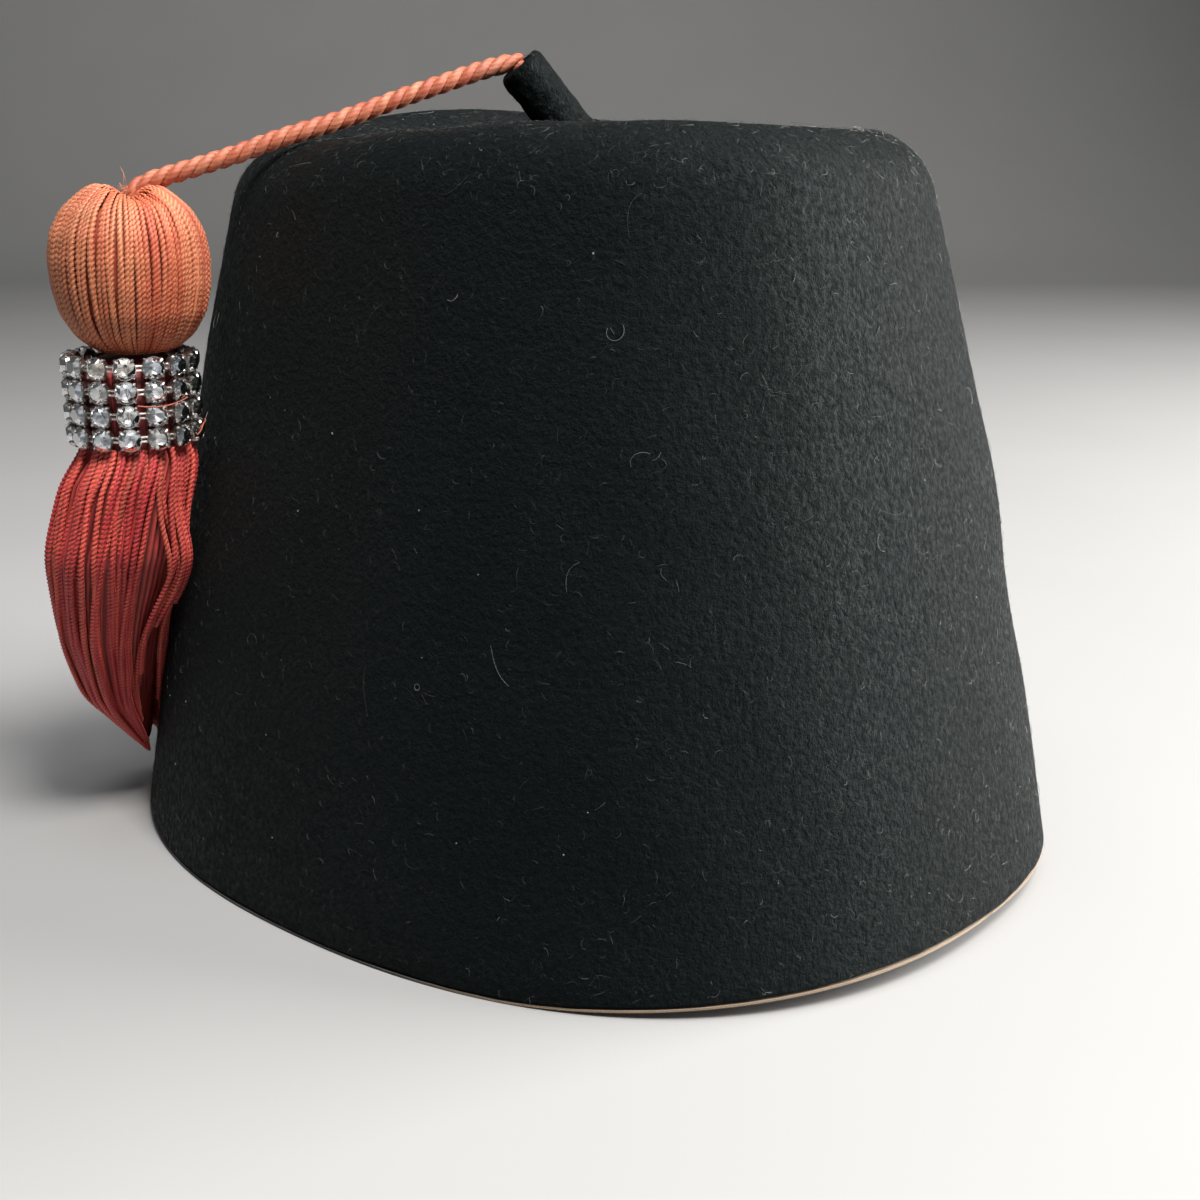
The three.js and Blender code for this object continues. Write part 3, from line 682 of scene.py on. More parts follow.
def make_cord():
    """Three plies of thread twisted round each other."""
    route = hang(*np.array(CORD_ROUTE).T)
    line, length = smooth_route(route, 0.34)
    _, aside, above, travelled = follow(line[None])
    bodies = []
    for ply in range(PLIES):
        angle = FULL_TURN * (ply / PLIES - travelled / PLY_PITCH)
        round_line = np.cos(angle)[..., None] * aside + np.sin(angle)[..., None] * above
        path = line[None] + PLY_OFFSET * round_line
        radii = np.full(path.shape[:2], PLY_RADIUS)
        radii[:, :3] *= [0.5, 0.8, 0.95]
        radii[:, -3:] *= [0.95, 0.8, 0.5]
        points, faces, layers = sweep(path, radii, CORD_SIDES, plies=5, waist=0.88, pitch=6.5)
        # The cord's grooves get a lighter painted shade than the other threads get.
        layers["groove_shade"] = 0.4 + 0.6 * layers["groove_shade"]
        layers["tint"] = 0.5 + 0.4 * ripple(points, 9, 20 + ply)
        layers["fade_and_shade"] = np.clip(ripple(points, 14, 40 + ply) * 0.25 - 0.05, 0, 1)
        bodies.append((points, faces, layers))
    points, faces, layers = gather(bodies)
    cord = make_piece("cord_twist", points, faces, cord_rayon, layers)
    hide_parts("cord")
    path = line * MM + RIM_MIDDLE


make_cord()


# Crown

def crown_grid(columns):
    """Rings of the felt from the middle of the top, down the outside, round the rim and back up inside."""
    turn = turns(columns)
    rings = []
    for share in np.linspace(0.03, 1, TOP_ROWS, endpoint=False):
        rings.append(top_point(turn, share, 0))
    for angle in np.linspace(math.pi / 2, SIDE_ANGLE, EDGE_ROWS, endpoint=False):
        rings.append(edge_point(turn, angle, 0))
    foot = FELT_EDGE / side_top(0)
    for share in np.linspace(1, foot, SIDE_ROWS):
        rings.append(side_point(turn, share, 0, TAPE_SHOWS))
    outside_rows = len(rings)
    for angle in np.linspace(0, math.pi, 7)[1:-1]:
        inset = FELT_WALL / 2 * (1 - math.cos(angle))
        rise = FELT_EDGE * (1 - math.sin(angle))
        rings.append(side_point(turn, rise / side_top(inset), inset, TAPE_SHOWS))
    for share in np.linspace(foot, 1, LINING_ROWS):
        rings.append(side_point(turn, share, FELT_WALL, TAPE_SHOWS))
    for angle in np.linspace(SIDE_ANGLE, math.pi / 2, 7)[1:]:
        rings.append(edge_point(turn, angle, FELT_WALL))
    for share in np.linspace(1, 0.03, 7)[1:]:
        rings.append(top_point(turn, share, FELT_WALL))
    return np.array(rings), outside_rows


def grid_normals(grid):
    down = np.gradient(grid, axis=0)
    around = np.roll(grid, -1, axis=1) - np.roll(grid, 1, axis=1)
    return unit(np.cross(down, around))


def make_crown():
    grid, outside_rows = crown_grid(CROWN_COLUMNS)
    normals = grid_normals(grid)
    uneven = 0.14 * ripple(grid, 30, 1) + 0.03 * ripple(grid, 6, 2)
    grid = grid + normals * uneven[..., None]
    points, faces = capped(grid, outward=False)
    crown = make_piece("crown_felt", points, faces, black_felt)
    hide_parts("crown")
    return grid[:outside_rows]


crown_skin = make_crown()


# Nap and lint

def scatter(grid, count, draw):
    """Places on a grid of points, chosen evenly by area, with the surface's outward direction there."""
    across = np.linalg.norm(np.roll(grid, -1, axis=1) - grid, axis=-1)[:-1]
    down = np.linalg.norm(np.diff(grid, axis=0), axis=-1)
    area = (across * down).ravel()
    chosen = draw.choice(area.size, count, p=area / area.sum())
    row, column = np.unravel_index(chosen, across.shape)
    u, v = draw.uniform(size=(2, count, 1))
    after = (column + 1) % grid.shape[1]
    upper = grid[row, column] * (1 - u) + grid[row, after] * u
    lower = grid[row + 1, column] * (1 - u) + grid[row + 1, after] * u
    normals = grid_normals(grid)[row, column]
    return upper * (1 - v) + lower * v, normals


def curl_paths(places, normals, lengths, heights, bends, steps, draw):
    """Curled fibres that start at places on a surface and lie close to it."""
    count = len(places)
    along = unit(np.cross(normals, draw.normal(size=(count, 3))))
    aside = np.cross(normals, along)
    t = np.linspace(0, 1, steps)[None, :, None]
    phase = draw.uniform(0, FULL_TURN, (count, 1, 1))
    heading = bends[:, None, None] * t + 0.5 * np.sin(2.5 * t + phase)
    pace = lengths[:, None, None] / (steps - 1)
    step = pace * (np.cos(heading) * along[:, None] + np.sin(heading) * aside[:, None])
    flat = np.cumsum(step, axis=1) - step[:, :1]
    loose = draw.uniform(size=(count, 1, 1)) < 0.4
    rise = np.where(loose, t ** 1.5, np.sin(math.pi * t)) * heights[:, None, None]
    paths = places[:, None] + flat + normals[:, None] * (rise + 0.03)
    paths[..., 2] = np.maximum(paths[..., 2], LEAST_HEIGHT)
    return paths


def ribbon(paths, widths, draw):
    """Flat fibres along paths, narrowing to their tips."""
    count, steps = paths.shape[:2]
    _, aside, above, _ = follow(paths)
    roll = draw.uniform(0, FULL_TURN, (count, 1, 1))
    lean = np.cos(roll) * aside + np.sin(roll) * above
    taper = (1 - 0.65 * np.linspace(0, 1, steps) ** 2)[None, :, None]
    half = widths[:, None, None] / 2 * taper * lean
    points = np.stack([paths - half, paths + half], 2).reshape(-1, 3)
    step = np.arange(steps - 1) * 2
    block = np.stack([step, step + 1, step + 3, step + 2], -1)
    quads = (block[None] + (np.arange(count) * steps * 2)[:, None, None]).reshape(-1, 4)
    return points, [quads]


def make_nap(name, grid, count, seed, longest=2.6, highest=0.55):
    draw = np.random.default_rng(seed)
    places, normals = scatter(grid, count, draw)
    lengths = draw.uniform(0.7, longest, count)
    heights = draw.uniform(0.05, highest, count) * draw.uniform(0.3, 1, count)
    bends = draw.normal(0, 2.2, count)
    paths = curl_paths(places, normals, lengths, heights, bends, NAP_STEPS, draw)
    points, faces = ribbon(paths, draw.uniform(0.03, 0.065, count), draw)
    azimuth = np.degrees(np.arctan2(places[:, 1], places[:, 0]))
    # Painted light: the nap fibres are paler on the side where the key light falls.
    lit_nap = 0.22 + 0.78 * np.exp(-((azimuth - LIT_NAP_MIDDLE) / LIT_NAP_REACH) ** 2)
    tint = per_point(lit_nap * draw.uniform(0, 1, count) ** 2.6, NAP_STEPS, 2)
    return make_piece(name, points, faces, nap_wool, {"tint": tint})


make_nap("crown_nap_a", crown_skin, count=9500, seed=60)
make_nap("crown_nap_b", crown_skin, count=6000, seed=61)
make_nap("crown_nap_top", crown_skin[:TOP_ROWS + EDGE_ROWS], count=5000, seed=62)


def make_lint():
    """A few pale fibres and specks of lint on the felt."""
    draw = np.random.default_rng(90)
    places, normals = scatter(crown_skin, LINT_CURLS, draw)
    lengths = draw.uniform(2.5, 10, LINT_CURLS)
    heights = draw.uniform(0.15, 0.7, LINT_CURLS)
    bends = draw.normal(0, 4.0, LINT_CURLS)
    paths = curl_paths(places, normals, lengths, heights, bends, LINT_STEPS, draw)
    radii = np.repeat(draw.uniform(0.018, 0.04, (LINT_CURLS, 1)), LINT_STEPS, axis=1)
    curls, faces, _ = sweep(paths, radii, LINT_SIDES)
    tint = per_point(draw.uniform(0, 1, LINT_CURLS) ** 1.5, LINT_STEPS, LINT_SIDES)
    bodies = [(curls, faces, {"tint": tint})]
    places, normals = scatter(crown_skin, LINT_SPECKS, draw)
    for place, normal in zip(places, normals):
        along = unit(np.cross(normal, draw.normal(size=3)))
        size = draw.uniform(0.1, 0.24)
        line = place + normal * 0.1 + np.linspace(-1, 1, 5)[:, None] * size * along
        radii = size * np.array([[0.25, 0.7, 0.85, 0.6, 0.2]])
        speck, faces, _ = sweep(line[None], radii, 6)
        bodies.append((speck, faces, {"tint": np.full(len(speck), draw.uniform(0.2, 0.9))}))
    points, faces, layers = gather(bodies)
    make_piece("crown_lint", points, faces, pale_lint, layers)


make_lint()


# Tape

def make_tape():
    """Ribbed tape inside the rim, its lower edge turned out under the felt as a thin tan line."""
    turn = turns(CROWN_COLUMNS)
    near = FELT_WALL + SEAT_GAP
    far = near + TAPE_THICKNESS
    high = TAPE_WIDTH / side_top(near)
    section = [(TAPE_LIP / side_top(near), 0.15), (TAPE_LIP / 2 / side_top(near), 0.05), (0.0, 0.2),
               (0.0, near), (0.0, far - 0.2)]
    section += [(share, far) for share in np.linspace(0.2 / side_top(near), high, 12)]
    section += [(high + 0.3 / side_top(near), (near + far) / 2)]
    section += [(share, near) for share in np.linspace(high, TAPE_LIP / side_top(near), 10)]
    section += [(TAPE_LIP / side_top(near), 0.15)]
    rings = np.array([side_point(turn, share, inset) for share, inset in section])
    around = np.linalg.norm(np.roll(rings, -1, axis=1) - rings, axis=-1).cumsum(axis=1)
    across = np.concatenate([[0], np.cumsum(np.linalg.norm(np.diff(rings[:, 0], axis=0), axis=-1))])
    place = np.stack([around, np.broadcast_to(across[:, None], around.shape), np.zeros_like(around)], -1)
    # Painted shade on the tape, near black round its shaded side.
    aside = (np.degrees(turn) - TAPE_SHADE_MIDDLE + 180) % 360 - 180
    tape_shade = 0.96 * np.clip((TAPE_SHADE_REACH - np.abs(aside)) / 16, 0, 1)
    rows, columns = rings.shape[:2]
    layers = {"thread": place.reshape(-1, 3), "fade_and_shade": np.broadcast_to(tape_shade, around.shape).ravel()}
    tape = make_piece("rim_tape_weave", rings.reshape(-1, 3), [grid_faces(rows, columns)],
                      tan_tape, layers)
    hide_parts("rim_tape")


make_tape()


# Stem

def make_stem():
    """Rolled felt tube, cut flat on the crown and rounded at its mouth."""
    foot = np.array([TOP_SHIFT, 0, CROWN_HEIGHT - TOP_DISH + SEAT_GAP])
    axis = hang(math.sin(STEM_LEAN), 0, math.cos(STEM_LEAN))
    across = hang(math.cos(STEM_LEAN), 0, -math.sin(STEM_LEAN))
    aside = hang(0, 1, 0)
    turn = turns(STEM_COLUMNS)
    radius = STEM_DIAMETER / 2

    def ring(size, along):
        round_it = np.cos(turn)[:, None] * across + np.sin(turn)[:, None] * aside
        return foot + axis * along + size * round_it

    rings = []
    for share in np.linspace(0, 1, 22):
        edge = ring(radius, (STEM_LENGTH - STEM_EDGE) * share)
        bottom = ring(radius, 0)
        bottom = bottom + axis * ((foot[2] - bottom[:, 2]) / axis[2])[:, None]
        start = (bottom - foot) @ axis
        height = start + (STEM_LENGTH - STEM_EDGE - start) * share
        rings.append(edge - axis * (STEM_LENGTH - STEM_EDGE) * share + axis * height[:, None])
    lip = (radius - STEM_BORE) / 2
    for angle in np.linspace(0, math.pi, 8)[1:]:
        size = STEM_BORE + lip + lip * math.cos(angle)
        rings.append(ring(size, STEM_LENGTH - STEM_EDGE * (1 - math.sin(angle))))
    for along in np.linspace(STEM_EDGE, BORE_DEPTH, 8)[1:]:
        rings.append(ring(STEM_BORE, STEM_LENGTH - along))
    grid = np.array(rings)
    normals = grid_normals(grid)
    bumps = 0.14 * ripple(grid, 8, 5) + 0.08 * ripple(grid, 2.6, 6)
    bumps[0] = 0
    grid = grid - normals * bumps[..., None]
    points, faces = capped(grid)
    stem = make_piece("stem_felt_roll", points, faces, stem_felt)
    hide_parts("stem")
    make_nap("stem_nap", grid[:26, ::-1], count=700, seed=70, longest=2.4, highest=0.7)


make_stem()


# Tassel's head

def make_head():
    """Two-ply threads wound from the dimple over the ball to the neck, over a core painted dark as shade
    between the threads.
    """
    draw = np.random.default_rng(11)
    heights, radii = np.array(HEAD_OUTLINE).T
    marks = np.concatenate([[0], np.cumsum(np.hypot(np.diff(heights), np.diff(radii)))])
    at = np.linspace(0, marks[-1], HEAD_STEPS)
    height = np.interp(at, marks, heights)
    radius = np.interp(at, marks, radii)
    kernel = np.ones(15) / 15
    height = np.convolve(np.pad(height, 7, mode="edge"), kernel, "valid")
    radius = np.convolve(np.pad(radius, 7, mode="edge"), kernel, "valid")
    ball_radius = HEAD_DIAMETER / 2 - THREAD_RADIUS
    turn = uneven_turns(HEAD_THREADS, 0.14, draw)
    sway = draw.normal(0, 0.02, (HEAD_THREADS, 1)) * np.sin(math.pi * at / marks[-1])[None]
    sway = sway + 0.02 * np.sin(2.2 * at[None] + draw.uniform(0, 6.3, (HEAD_THREADS, 1)))
    under = 0.4 * (np.arange(HEAD_THREADS) % 2)[:, None] * (radius < 0.45)
    sunk = draw.uniform(0, 0.22, (HEAD_THREADS, 1)) + under
    reach = ball_radius * radius[None] - sunk
    up = HEAD_MIDDLE_HEIGHT + height[None] * (HEAD_HEIGHT / 2 - THREAD_RADIUS) - sunk * (height > 0.8)
    angle = turn[:, None] + sway + 0.05 * (1 - height[None])
    notch = np.abs(np.cos(angle + NOTCH_ANGLE)) ** 5
    up = up - NOTCH_DEPTH * notch * np.clip((height[None] - 0.72) / 0.24, 0, 1) ** 1.4
    paths = hang_round(HEAD_OUT, reach, angle, up)
    room = math.pi * ball_radius * radius / HEAD_THREADS * 1.45
    thickness = np.clip(room, 0.3, THREAD_RADIUS)[None] * draw.uniform(0.9, 1.06, (HEAD_THREADS, 1))
    tints = draw.uniform(0, 1, HEAD_THREADS)
    phases = draw.uniform(0, 6.3, HEAD_THREADS)
    for title, chosen in every_other("tassel_head_threads"):
        points, faces, layers = sweep(paths[chosen], thickness[chosen], STRAND_SIDES, plies=2, waist=0.6,
                                      pitch=THREAD_PITCH, phases=phases[chosen])
        shades = per_point(tints[chosen], HEAD_STEPS, STRAND_SIDES)
        layers["tint"] = np.clip(shades + 0.15 * ripple(points, 8, 12), 0, 1)
        away = (points - hang(HEAD_OUT, 0, HEAD_MIDDLE_HEIGHT)) @ hang(math.cos(0.4), -math.sin(0.4), 0)
        layers["fade_and_shade"] = np.clip(away / HEAD_DIAMETER * 1.6 + 0.12 * ripple(points, 6, 13), 0, 0.7)
        head = make_piece(title, points, faces, head_rayon, layers)
        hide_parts("tassel_head")
    ring = turns(48)
    rows = [hang_round(HEAD_OUT, ball_radius * r - 0.75, ring,
                       HEAD_MIDDLE_HEIGHT + h * (HEAD_HEIGHT / 2 - 1.3) - CORE_SINK * max(0, h - 0.75))
            for h, r in zip(height[::7], radius[::7])]
    points, faces = capped(np.array(rows))
    # Painted shade: the core is painted dark by a low groove value, in the gaps between the threads.
    layers = {"tint": np.zeros(len(points)), "fade_and_shade": np.zeros(len(points)),
              "groove_shade": 0.36 + 0.1 * ripple(points, 1.2, 14), "thread": points}
    make_piece("tassel_head_core", points, faces, head_rayon, layers)


def make_frayed_ends():
    """Fine loose fibres where the cord goes into the dimple."""
    draw = np.random.default_rng(31)
    cord_out, _, cord_up = CORD_ROUTE[-1]
    start = hang(cord_out, 0, cord_up + 1.6)
    share = np.linspace(0, 1, FRAYED_STEPS)[None, :, None]
    heading = unit(draw.normal(size=(FRAYED_ENDS, 1, 3)) + hang(0, -0.9, 0.9))
    bend = unit(draw.normal(size=(FRAYED_ENDS, 1, 3)))
    length = draw.uniform(1.2, 3.6, (FRAYED_ENDS, 1, 1))
    curl = share * heading + 0.5 * share ** 2 * bend
    paths = start + draw.normal(0, 0.7, (FRAYED_ENDS, 1, 3)) + length * curl
    radii = np.full((FRAYED_ENDS, FRAYED_STEPS), 0.045)
    points, faces, layers = sweep(paths, radii, FRAYED_SIDES)
    layers["tint"] = per_point(draw.uniform(0.3, 1, FRAYED_ENDS), FRAYED_STEPS, FRAYED_SIDES)
    layers["fade_and_shade"] = per_point(draw.uniform(0, 0.8, FRAYED_ENDS), FRAYED_STEPS, FRAYED_SIDES)
    make_piece("tassel_head_fibres", points, faces, cord_rayon, layers)


make_head()
make_frayed_ends()


# Tassel's skirt

def skirt_section(drop):
    up = BAND_BOTTOM + (SKIRT_TIP_HEIGHT - BAND_BOTTOM) * drop
    back = SKIRT_SWING * skirt_course("swing", drop)
    thick = SKIRT_DIAMETER / 2 * skirt_course("thick", drop)
    wide = SKIRT_DIAMETER / 2 * skirt_course("wide", drop)
    resting = wall_out(back, up) + SKIRT_WALL_GAP + thick
    share = np.minimum(1, drop / SKIRT_SETTLE)
    out = np.maximum(BAND_OUT, resting) * (1 - share) + resting * share
    return out, back, up, thick, wide


def smooth_along(values, width):
    kernel = np.hanning(width + 2)[1:-1]
    kernel = kernel / kernel.sum()
    side = width // 2
    padded = np.pad(values, (side, width - 1 - side), mode="reflect", reflect_type="odd")
    return np.convolve(padded, kernel, "valid")


def skirt_paths(seats, spreads, ends, steps, draw):
    """Strands that hang down the skirt, each at its place in the skirt's section."""
    count = len(seats)
    share = np.linspace(0, 1, 200)
    out, back, up, thick, wide = (smooth_along(v, 31) for v in skirt_section(share))
    drop = ends[:, None] * np.linspace(0, 1, steps)[None]

    def at(values):
        return np.interp(drop, share, values)

    wander = draw.normal(0, 0.13, (count, 1)) * np.sin(math.pi * drop)
    wander = wander + 0.045 * np.sin(7 * drop + draw.uniform(0, 6.3, (count, 1)))
    angle = spreads[:, None] + wander
    seat = seats[:, None] + 0.03 * np.sin(9 * drop + draw.uniform(0, 6.3, (count, 1)))
    leant = 1.2 * np.clip(-np.cos(angle), 0, 1) * np.clip((drop - 0.35) * 3, 0, 1)
    reach_out = np.maximum(at(thick) - STRAND_RADIUS, 0.4) * seat + leant
    reach_back = np.maximum(at(wide) - STRAND_RADIUS, 0.4) * seat
    strand_back = at(back) + reach_back * np.sin(angle)
    strand_out = at(out) + reach_out * np.cos(angle)
    lying = wall_out(strand_back, at(up)) + STRAND_RADIUS
    hold = lock_share(angle) * np.exp(-((drop - LOCK_HELD_AT) / LOCK_HELD_REACH) ** 2)
    strand_out = strand_out + 0.85 * hold * np.minimum(0, lying - strand_out)
    return hang(strand_out, strand_back, at(up))


def lock_share(angle):
    """How far an angle round the skirt belongs to the lock that ends short, near the crown."""
    return np.exp(-((angle - LOCK_ANGLE) / LOCK_REACH) ** 2)


def make_skirt():
    draw = np.random.default_rng(17)
    spreads = uneven_turns(SKIRT_STRANDS, 0.18, draw)
    seats = 1 - 0.13 * draw.uniform(0, 1, SKIRT_STRANDS) ** 1.3
    ends = 1 - 0.07 * draw.uniform(0, 1, SKIRT_STRANDS) ** 1.6
    near_lock = lock_share(spreads)
    ends = ends - LOCK_LOSES * near_lock * draw.uniform(0.8, 1, SKIRT_STRANDS)
    tints = draw.uniform(0, 1, SKIRT_STRANDS)
    fades = 0.55 * draw.uniform(0, 1, SKIRT_STRANDS) ** 4
    paths = skirt_paths(seats, spreads, ends, SKIRT_STEPS, draw)
    radii = np.full((SKIRT_STRANDS, SKIRT_STEPS), STRAND_RADIUS)
    radii = radii * draw.uniform(0.88, 1.06, (SKIRT_STRANDS, 1))
    radii[:, -2:] *= [0.75, 0.3]
    phases = draw.uniform(0, 6.3, SKIRT_STRANDS)
    for title, chosen in every_other("tassel_skirt_strands"):
        points, faces, layers = sweep(paths[chosen], radii[chosen], STRAND_SIDES, plies=2, waist=0.48,
                                      pitch=STRAND_PITCH, phases=phases[chosen])
        shades = per_point(tints[chosen], SKIRT_STEPS, STRAND_SIDES)
        layers["tint"] = np.clip(shades + 0.12 * ripple(points, 10, 18), 0, 1)
        high = np.clip((points[:, 2] - FADE_FROM_HEIGHT) / FADE_RISE, 0, 1)
        layers["fade_and_shade"] = np.clip(per_point(fades[chosen], SKIRT_STEPS, STRAND_SIDES) * high, 0, 1)
        skirt = make_piece(title, points, faces, skirt_rayon, layers)
        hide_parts("tassel_skirt")
    make_skirt_core(draw)


def make_skirt_core(draw):
    """Ridged bulk behind the strands, and the neck that the band grips."""
    ring = turns(INNER_SIDES * INNER_STRANDS)
    ridge = np.cos(INNER_STRANDS * ring)
    rows = []
    gripped = BAND_INNER_RADIUS - SEAT_GAP
    for up, size in ((NECK_TOP, NECK_DIAMETER / 2), (NECK_TOP - CUP_DIAMETER / 2, gripped - 0.5),
                     (BAND_BOTTOM + CUP_DIAMETER / 2, gripped - 0.5)):
        rows.append(hang_round(BAND_OUT, size, ring, up))
    for drop in np.linspace(0, 0.97, 30):
        out, back, up, thick, wide = skirt_section(drop)
        half_out = max(thick - 1.7, 0.3) + 0.3 * ridge
        half_back = max(wide - 1.9, 0.3) + 0.3 * ridge
        inward = 1 - 0.15 * lock_share(ring) * min(1, max(0, (drop - 0.4) * 5))
        rows.append(hang(out + half_out * inward * np.cos(ring),
                         back + half_back * inward * np.sin(ring), up))
    points, faces = capped(np.array(rows))
    shades = np.repeat(draw.uniform(0, 0.8, INNER_STRANDS), INNER_SIDES)
    shades = np.concatenate([np.tile(shades, len(rows)), [0, 0]])
    # Painted shade: the core is painted dark, darkest between its ridges, behind and between the strands.
    core_shade = np.concatenate([np.tile(0.3 + 0.24 * ridge, len(rows)), [0, 0]])
    layers = {"tint": shades, "fade_and_shade": np.zeros(len(points)),
              "groove_shade": core_shade + 0.05 * ripple(points, 1.4, 19), "thread": points}
    make_piece("tassel_skirt_core", points, faces, skirt_rayon, layers)
    turn = uneven_turns(NECK_THREADS, 0.15, draw)
    up = np.linspace(NECK_TOP, BAND_BOTTOM - 0.5, NECK_STEPS)[None]
    size = np.interp(up, [BAND_BOTTOM, BAND_BOTTOM + 3, NECK_TOP - 2.5, NECK_TOP],
                     [gripped + 0.2, gripped - 0.6, gripped - 0.6, NECK_DIAMETER / 2])
    paths = hang_round(BAND_OUT, size, turn[:, None], up)
    radii = np.full((NECK_THREADS, NECK_STEPS), NECK_THREAD_RADIUS)
    points, faces, layers = sweep(paths, radii, STRAND_SIDES, plies=2, waist=0.64, pitch=STRAND_PITCH)
    layers["tint"] = per_point(draw.uniform(0, 0.7, NECK_THREADS), NECK_STEPS, STRAND_SIDES)
    # Painted shade: the neck threads are painted almost as dark as thread grooves, under the band.
    layers["groove_shade"] = 0.2 * layers["groove_shade"]
    layers["fade_and_shade"] = np.zeros(len(points))
    make_piece("tassel_neck_threads", points, faces, skirt_rayon, layers)


make_skirt()


# Rhinestone band

def stone_frame(turn, up):
    """Middle of a cup in the band, and its outward and sideways directions."""
    outward = hang(math.cos(turn), math.sin(turn), 0)
    sideways = hang(-math.sin(turn), math.cos(turn), 0)
    middle = hang(BAND_OUT, 0, up) + outward * CUP_RING_RADIUS
    return middle, outward, sideways


def place_in_cup(shape, turn, up, lean, spin):
    """Brings points (sideways, up, proud) about a cup's middle to their place in the band."""
    middle, outward, sideways = stone_frame(turn, up)
    upward = np.array([0, 0, 1.0])
    c, s = math.cos(spin), math.sin(spin)
    across = shape[:, :1] * c - shape[:, 1:2] * s
    above = shape[:, :1] * s + shape[:, 1:2] * c
    tipped = shape[:, 2:] + lean[0] * across + lean[1] * above
    return middle + across * sideways + above * upward + tipped * outward


def level_ring(radius, turn, height):
    return np.stack([radius * np.cos(turn), radius * np.sin(turn), np.full(len(turn), height)], -1)


def stone_shape():
    """A cut stone: an eight-sided table, kites and girdle facets above, a pavilion below."""
    ring8 = turns(8)
    half = STONE_DIAMETER / 2
    seat = CUP_DEPTH / 2
    table = level_ring(STONE_TABLE / 2, ring8, seat + STONE_RISE)
    between = ring8 + math.pi / 8
    middle = level_ring(half * 0.8, between, seat + STONE_RISE * 0.5)
    girdle = level_ring(half, turns(16), seat)
    lower = level_ring(half * 0.5, between, seat - 0.85)
    tip = np.array([[0, 0, seat - 1.5]])
    points = np.concatenate([table, middle, girdle, lower, tip])
    crown_faces, back_faces = [], []
    for i in range(8):
        after = (i + 1) % 8
        left, here, right = 16 + 2 * i, 16 + (2 * i + 1) % 16, 16 + (2 * i + 2) % 16
        crown_faces += [(i, 8 + i, after), (i, left, 8 + i), (after, 8 + i, right),
                        (8 + i, left, here), (8 + i, here, right)]
        back_faces += [(32 + i, here, left), (32 + i, right, here), (32 + i, left, 32 + (i - 1) % 8),
                       (32 + i, 32 + (i - 1) % 8, 40)]
    crown_faces += [(0, i, i + 1) for i in range(1, 7)]
    return points, np.array(crown_faces), np.array(back_faces)


def cup_shape():
    """A silver cup with four prongs bent over the stone's edge."""
    ring = turns(16)
    levels = [(CUP_BACK_DIAMETER / 2 - 0.5, -CUP_DEPTH / 2), (CUP_BACK_DIAMETER / 2, -CUP_DEPTH / 2),
              (CUP_DIAMETER / 2, CUP_DEPTH / 2 - 0.35), (CUP_DIAMETER / 2, CUP_DEPTH / 2 - 0.05),
              (STONE_DIAMETER / 2 + 0.02, CUP_DEPTH / 2 - 0.05),
              (STONE_DIAMETER / 2 - 0.4, CUP_DEPTH / 2 - 0.6),
              (0.6, -CUP_DEPTH / 2 + 0.25)]
    grid = np.array([level_ring(r, ring, h) for r, h in levels])
    points = [grid.reshape(-1, 3)]
    faces = [grid_faces(len(levels), 16)]
    count = len(levels) * 16
    for quarter in range(4):
        angle = math.pi / 4 + quarter * math.pi / 2
        line = [(CUP_DIAMETER / 2 + 0.02, CUP_DEPTH / 2 - 0.7), (CUP_DIAMETER / 2 + 0.06, CUP_DEPTH / 2),
                (CUP_DIAMETER / 2 - 0.12, CUP_DEPTH / 2 + 0.28),
                (CUP_DIAMETER / 2 - 0.5, CUP_DEPTH / 2 + 0.47)]
        path = np.array([[r * math.cos(angle), r * math.sin(angle), h] for r, h in line])
        prong, quads, _ = sweep(path[None], np.array([[0.34, 0.36, 0.34, 0.2]]), 6)
        points.append(prong)
        faces.append(quads[0] + count)
        count += len(prong)
        tip = prong[-6:].mean(0, keepdims=True)
        points.append(tip)
        faces.append(fan_faces(count - 6, 6, count))
        count += 1
    return np.concatenate(points), faces


def link_bar(line, radius):
    """A round bar along three points, between two cups."""
    points, faces, _ = sweep(line[None], np.full((1, 3), radius), 8)
    return points, faces, {}


def make_band():
    draw = np.random.default_rng(23)
    rows = [BAND_BOTTOM + CUP_DIAMETER / 2 + row * ROW_PITCH for row in range(STONE_ROWS)]
    stone, crown_faces, back_faces = stone_shape()
    cup, cup_faces = cup_shape()
    glass, foils, cups = [], [], []
    for up in rows:
        for column in range(STONES_ROUND):
            turn = BAND_TURN + FULL_TURN * column / STONES_ROUND
            lean = draw.normal(0, 0.05, 2)
            spin = draw.uniform(0, math.pi / 4)
            tint = draw.uniform(0, 1) ** 2
            shape = place_in_cup(stone, turn, up, lean, spin)
            layers = {"tint": np.full(len(shape), tint)}
            glass.append((shape, [crown_faces], layers))
            foils.append((shape, [back_faces], layers))
            cups.append((place_in_cup(cup, turn, up, lean, 0), cup_faces, {}))
    for up in rows:
        for column in range(STONES_ROUND):
            turn = BAND_TURN + FULL_TURN * (column + 0.5) / STONES_ROUND
            middle, outward, sideways = stone_frame(turn, up)
            for rise in (-0.42, 0.42):
                line = (middle + outward * 0.05 + np.array([0, 0, rise])
                        + sideways * np.array([[-1.1], [0], [1.1]]))
                cups.append(link_bar(line, 0.26))
    for column in range(STONES_ROUND):
        turn = BAND_TURN + FULL_TURN * column / STONES_ROUND
        _, outward, _ = stone_frame(turn, rows[0])
        for low, high in zip(rows, rows[1:]):
            foot, _, _ = stone_frame(turn, low)
            top, _, _ = stone_frame(turn, high)
            line = np.array([foot, (foot + top) / 2, top]) - outward * 0.2
            cups.append(link_bar(line, 0.3))
    for title, parts, material in (("rhinestone_settings", cups, silver),
                                   ("rhinestone_glass", glass, clear_stone),
                                   ("rhinestone_foil", foils, foil)):
        points, faces, layers = gather(parts)
        piece = make_piece(title, points, faces, material, layers, smooth=False)
        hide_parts("rhinestone_band")


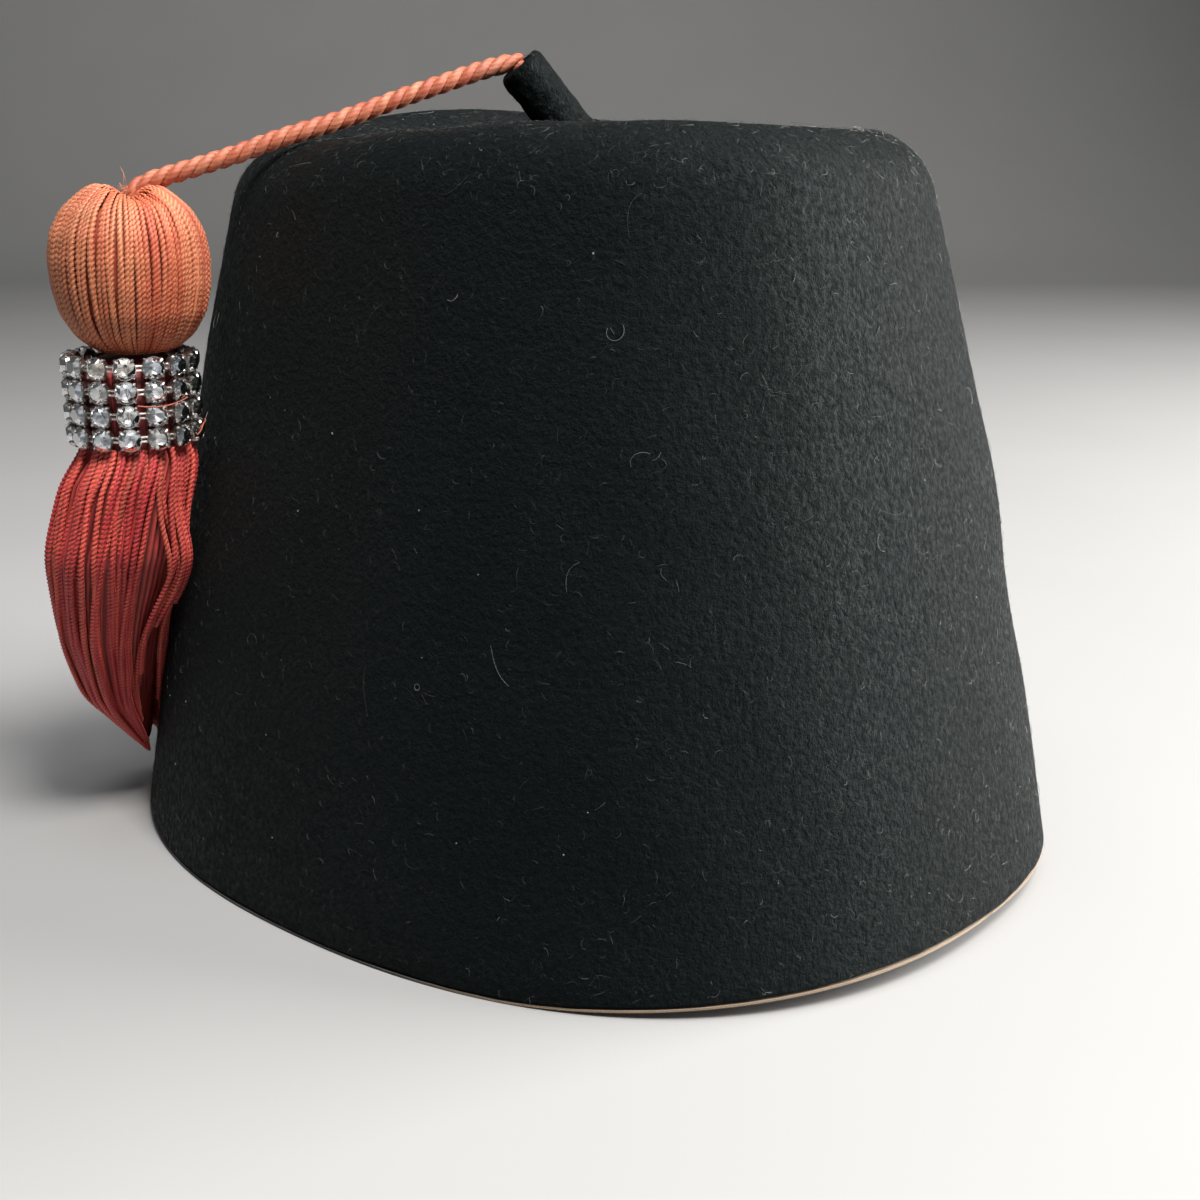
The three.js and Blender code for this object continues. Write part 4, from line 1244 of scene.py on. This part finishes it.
def make_loose_threads():
    """Two thin threads caught on the band, one across its front and one at its lower edge."""
    steps = 40
    share = np.linspace(0, 1, steps)
    bodies = []
    for first, last, low, high, sag in ((-96, -141, 93.3, 93.9, -0.7), (-152, -185, 86.2, 88, 0.5)):
        angle = np.radians(first + (last - first) * share)
        reach = BAND_OUTER_RADIUS + 0.14 + 0.12 * np.sin(9 * share)
        up = low + (high - low) * share + sag * np.sin(math.pi * share)
        path = hang_round(BAND_OUT, reach, angle, up)
        points, faces, layers = sweep(path[None], np.full((1, steps), 0.17), 6, plies=2, waist=0.6, pitch=1.2)
        layers["tint"] = np.full(len(points), 0.4)
        layers["fade_and_shade"] = np.full(len(points), 0.8)
        bodies.append((points, faces, layers))
    points, faces, layers = gather(bodies)
    make_piece("band_loose_threads", points, faces, skirt_rayon, layers)


make_band()
make_loose_threads()


# Floor, backdrop and light, in metres
STAGE_REACH = 4.0
STAGE_FLAT = 1.3
STAGE_CURVE = 0.7


def make_stage():
    """A pale floor that curves up to a backdrop behind the hat."""
    made, tree, surface = new_material("pale_paper", {"Roughness": 0.7, "Specular IOR Level": 0.2})
    place = add_node(tree, "ShaderNodeTexCoord").outputs["Object"]
    tone = blend_colours(tree, noise(tree, place, 9, 2.0, 0.5), rgb(0.25, 0.25, 0.25), rgb(0.27, 0.27, 0.27))
    tree.links.new(tone, surface.inputs["Base Color"])
    ahead = np.array([-math.sin(CAMERA_TURN), math.cos(CAMERA_TURN), 0])
    aside = np.array([math.cos(CAMERA_TURN), math.sin(CAMERA_TURN), 0])
    profile = [(-STAGE_REACH, 0.0), (STAGE_FLAT, 0.0)]
    profile += [(STAGE_FLAT + STAGE_CURVE * math.sin(a), STAGE_CURVE - STAGE_CURVE * math.cos(a))
                for a in np.linspace(0, math.pi / 2, 14)[1:]]
    profile += [(STAGE_FLAT + STAGE_CURVE, STAGE_REACH)]
    points = np.array([far * ahead + wide * aside + [0, 0, up]
                       for far, up in profile for wide in (-STAGE_REACH, STAGE_REACH)])
    steps = np.arange(len(profile) - 1) * 2
    quads = np.stack([steps, steps + 1, steps + 3, steps + 2], -1)
    mesh = bpy.data.meshes.new("stage")
    mesh.from_pydata([tuple(p) for p in points], [], [tuple(int(i) for i in q) for q in quads])
    mesh.polygons.foreach_set("use_smooth", np.full(len(quads), True))
    mesh.materials.append(made)
    stage = bpy.data.objects.new("stage", mesh)
    bpy.context.scene.collection.objects.link(stage)


def make_light(name, azimuth, elevation, distance, size, power, colour):
    """A square soft light that faces the hat's middle."""
    middle = Vector((0, 0, 0.07)) + Vector(RIM_MIDDLE)
    a, e = math.radians(azimuth), math.radians(elevation)
    way = Vector((math.cos(a) * math.cos(e), math.sin(a) * math.cos(e), math.sin(e)))
    data = bpy.data.lights.new(name, "AREA")
    data.shape = "SQUARE"
    data.size = size
    data.energy = power
    data.color = colour
    lamp = bpy.data.objects.new(name, data)
    lamp.location = middle + way * distance
    lamp.rotation_euler = (-way).to_track_quat("-Z", "Y").to_euler()
    bpy.context.scene.collection.objects.link(lamp)


make_stage()
make_light("key_light", azimuth=45, elevation=16, distance=1.0, size=0.75, power=44,
           colour=(1.0, 0.98, 0.95))
make_light("top_light", azimuth=-75, elevation=76, distance=1.1, size=0.7, power=8,
           colour=(0.97, 0.98, 1.0))
make_light("tassel_light", azimuth=-20, elevation=59, distance=1.0, size=0.3, power=19,
           colour=(1.0, 0.96, 0.92))

world = bpy.data.worlds.new("soft_room")
world.use_nodes = True
world.node_tree.nodes["Background"].inputs["Color"].default_value = rgb(0.86, 0.93, 1.0)
world.node_tree.nodes["Background"].inputs["Strength"].default_value = 0.08
bpy.context.scene.world = world
bpy.context.scene.view_settings.view_transform = "Standard"
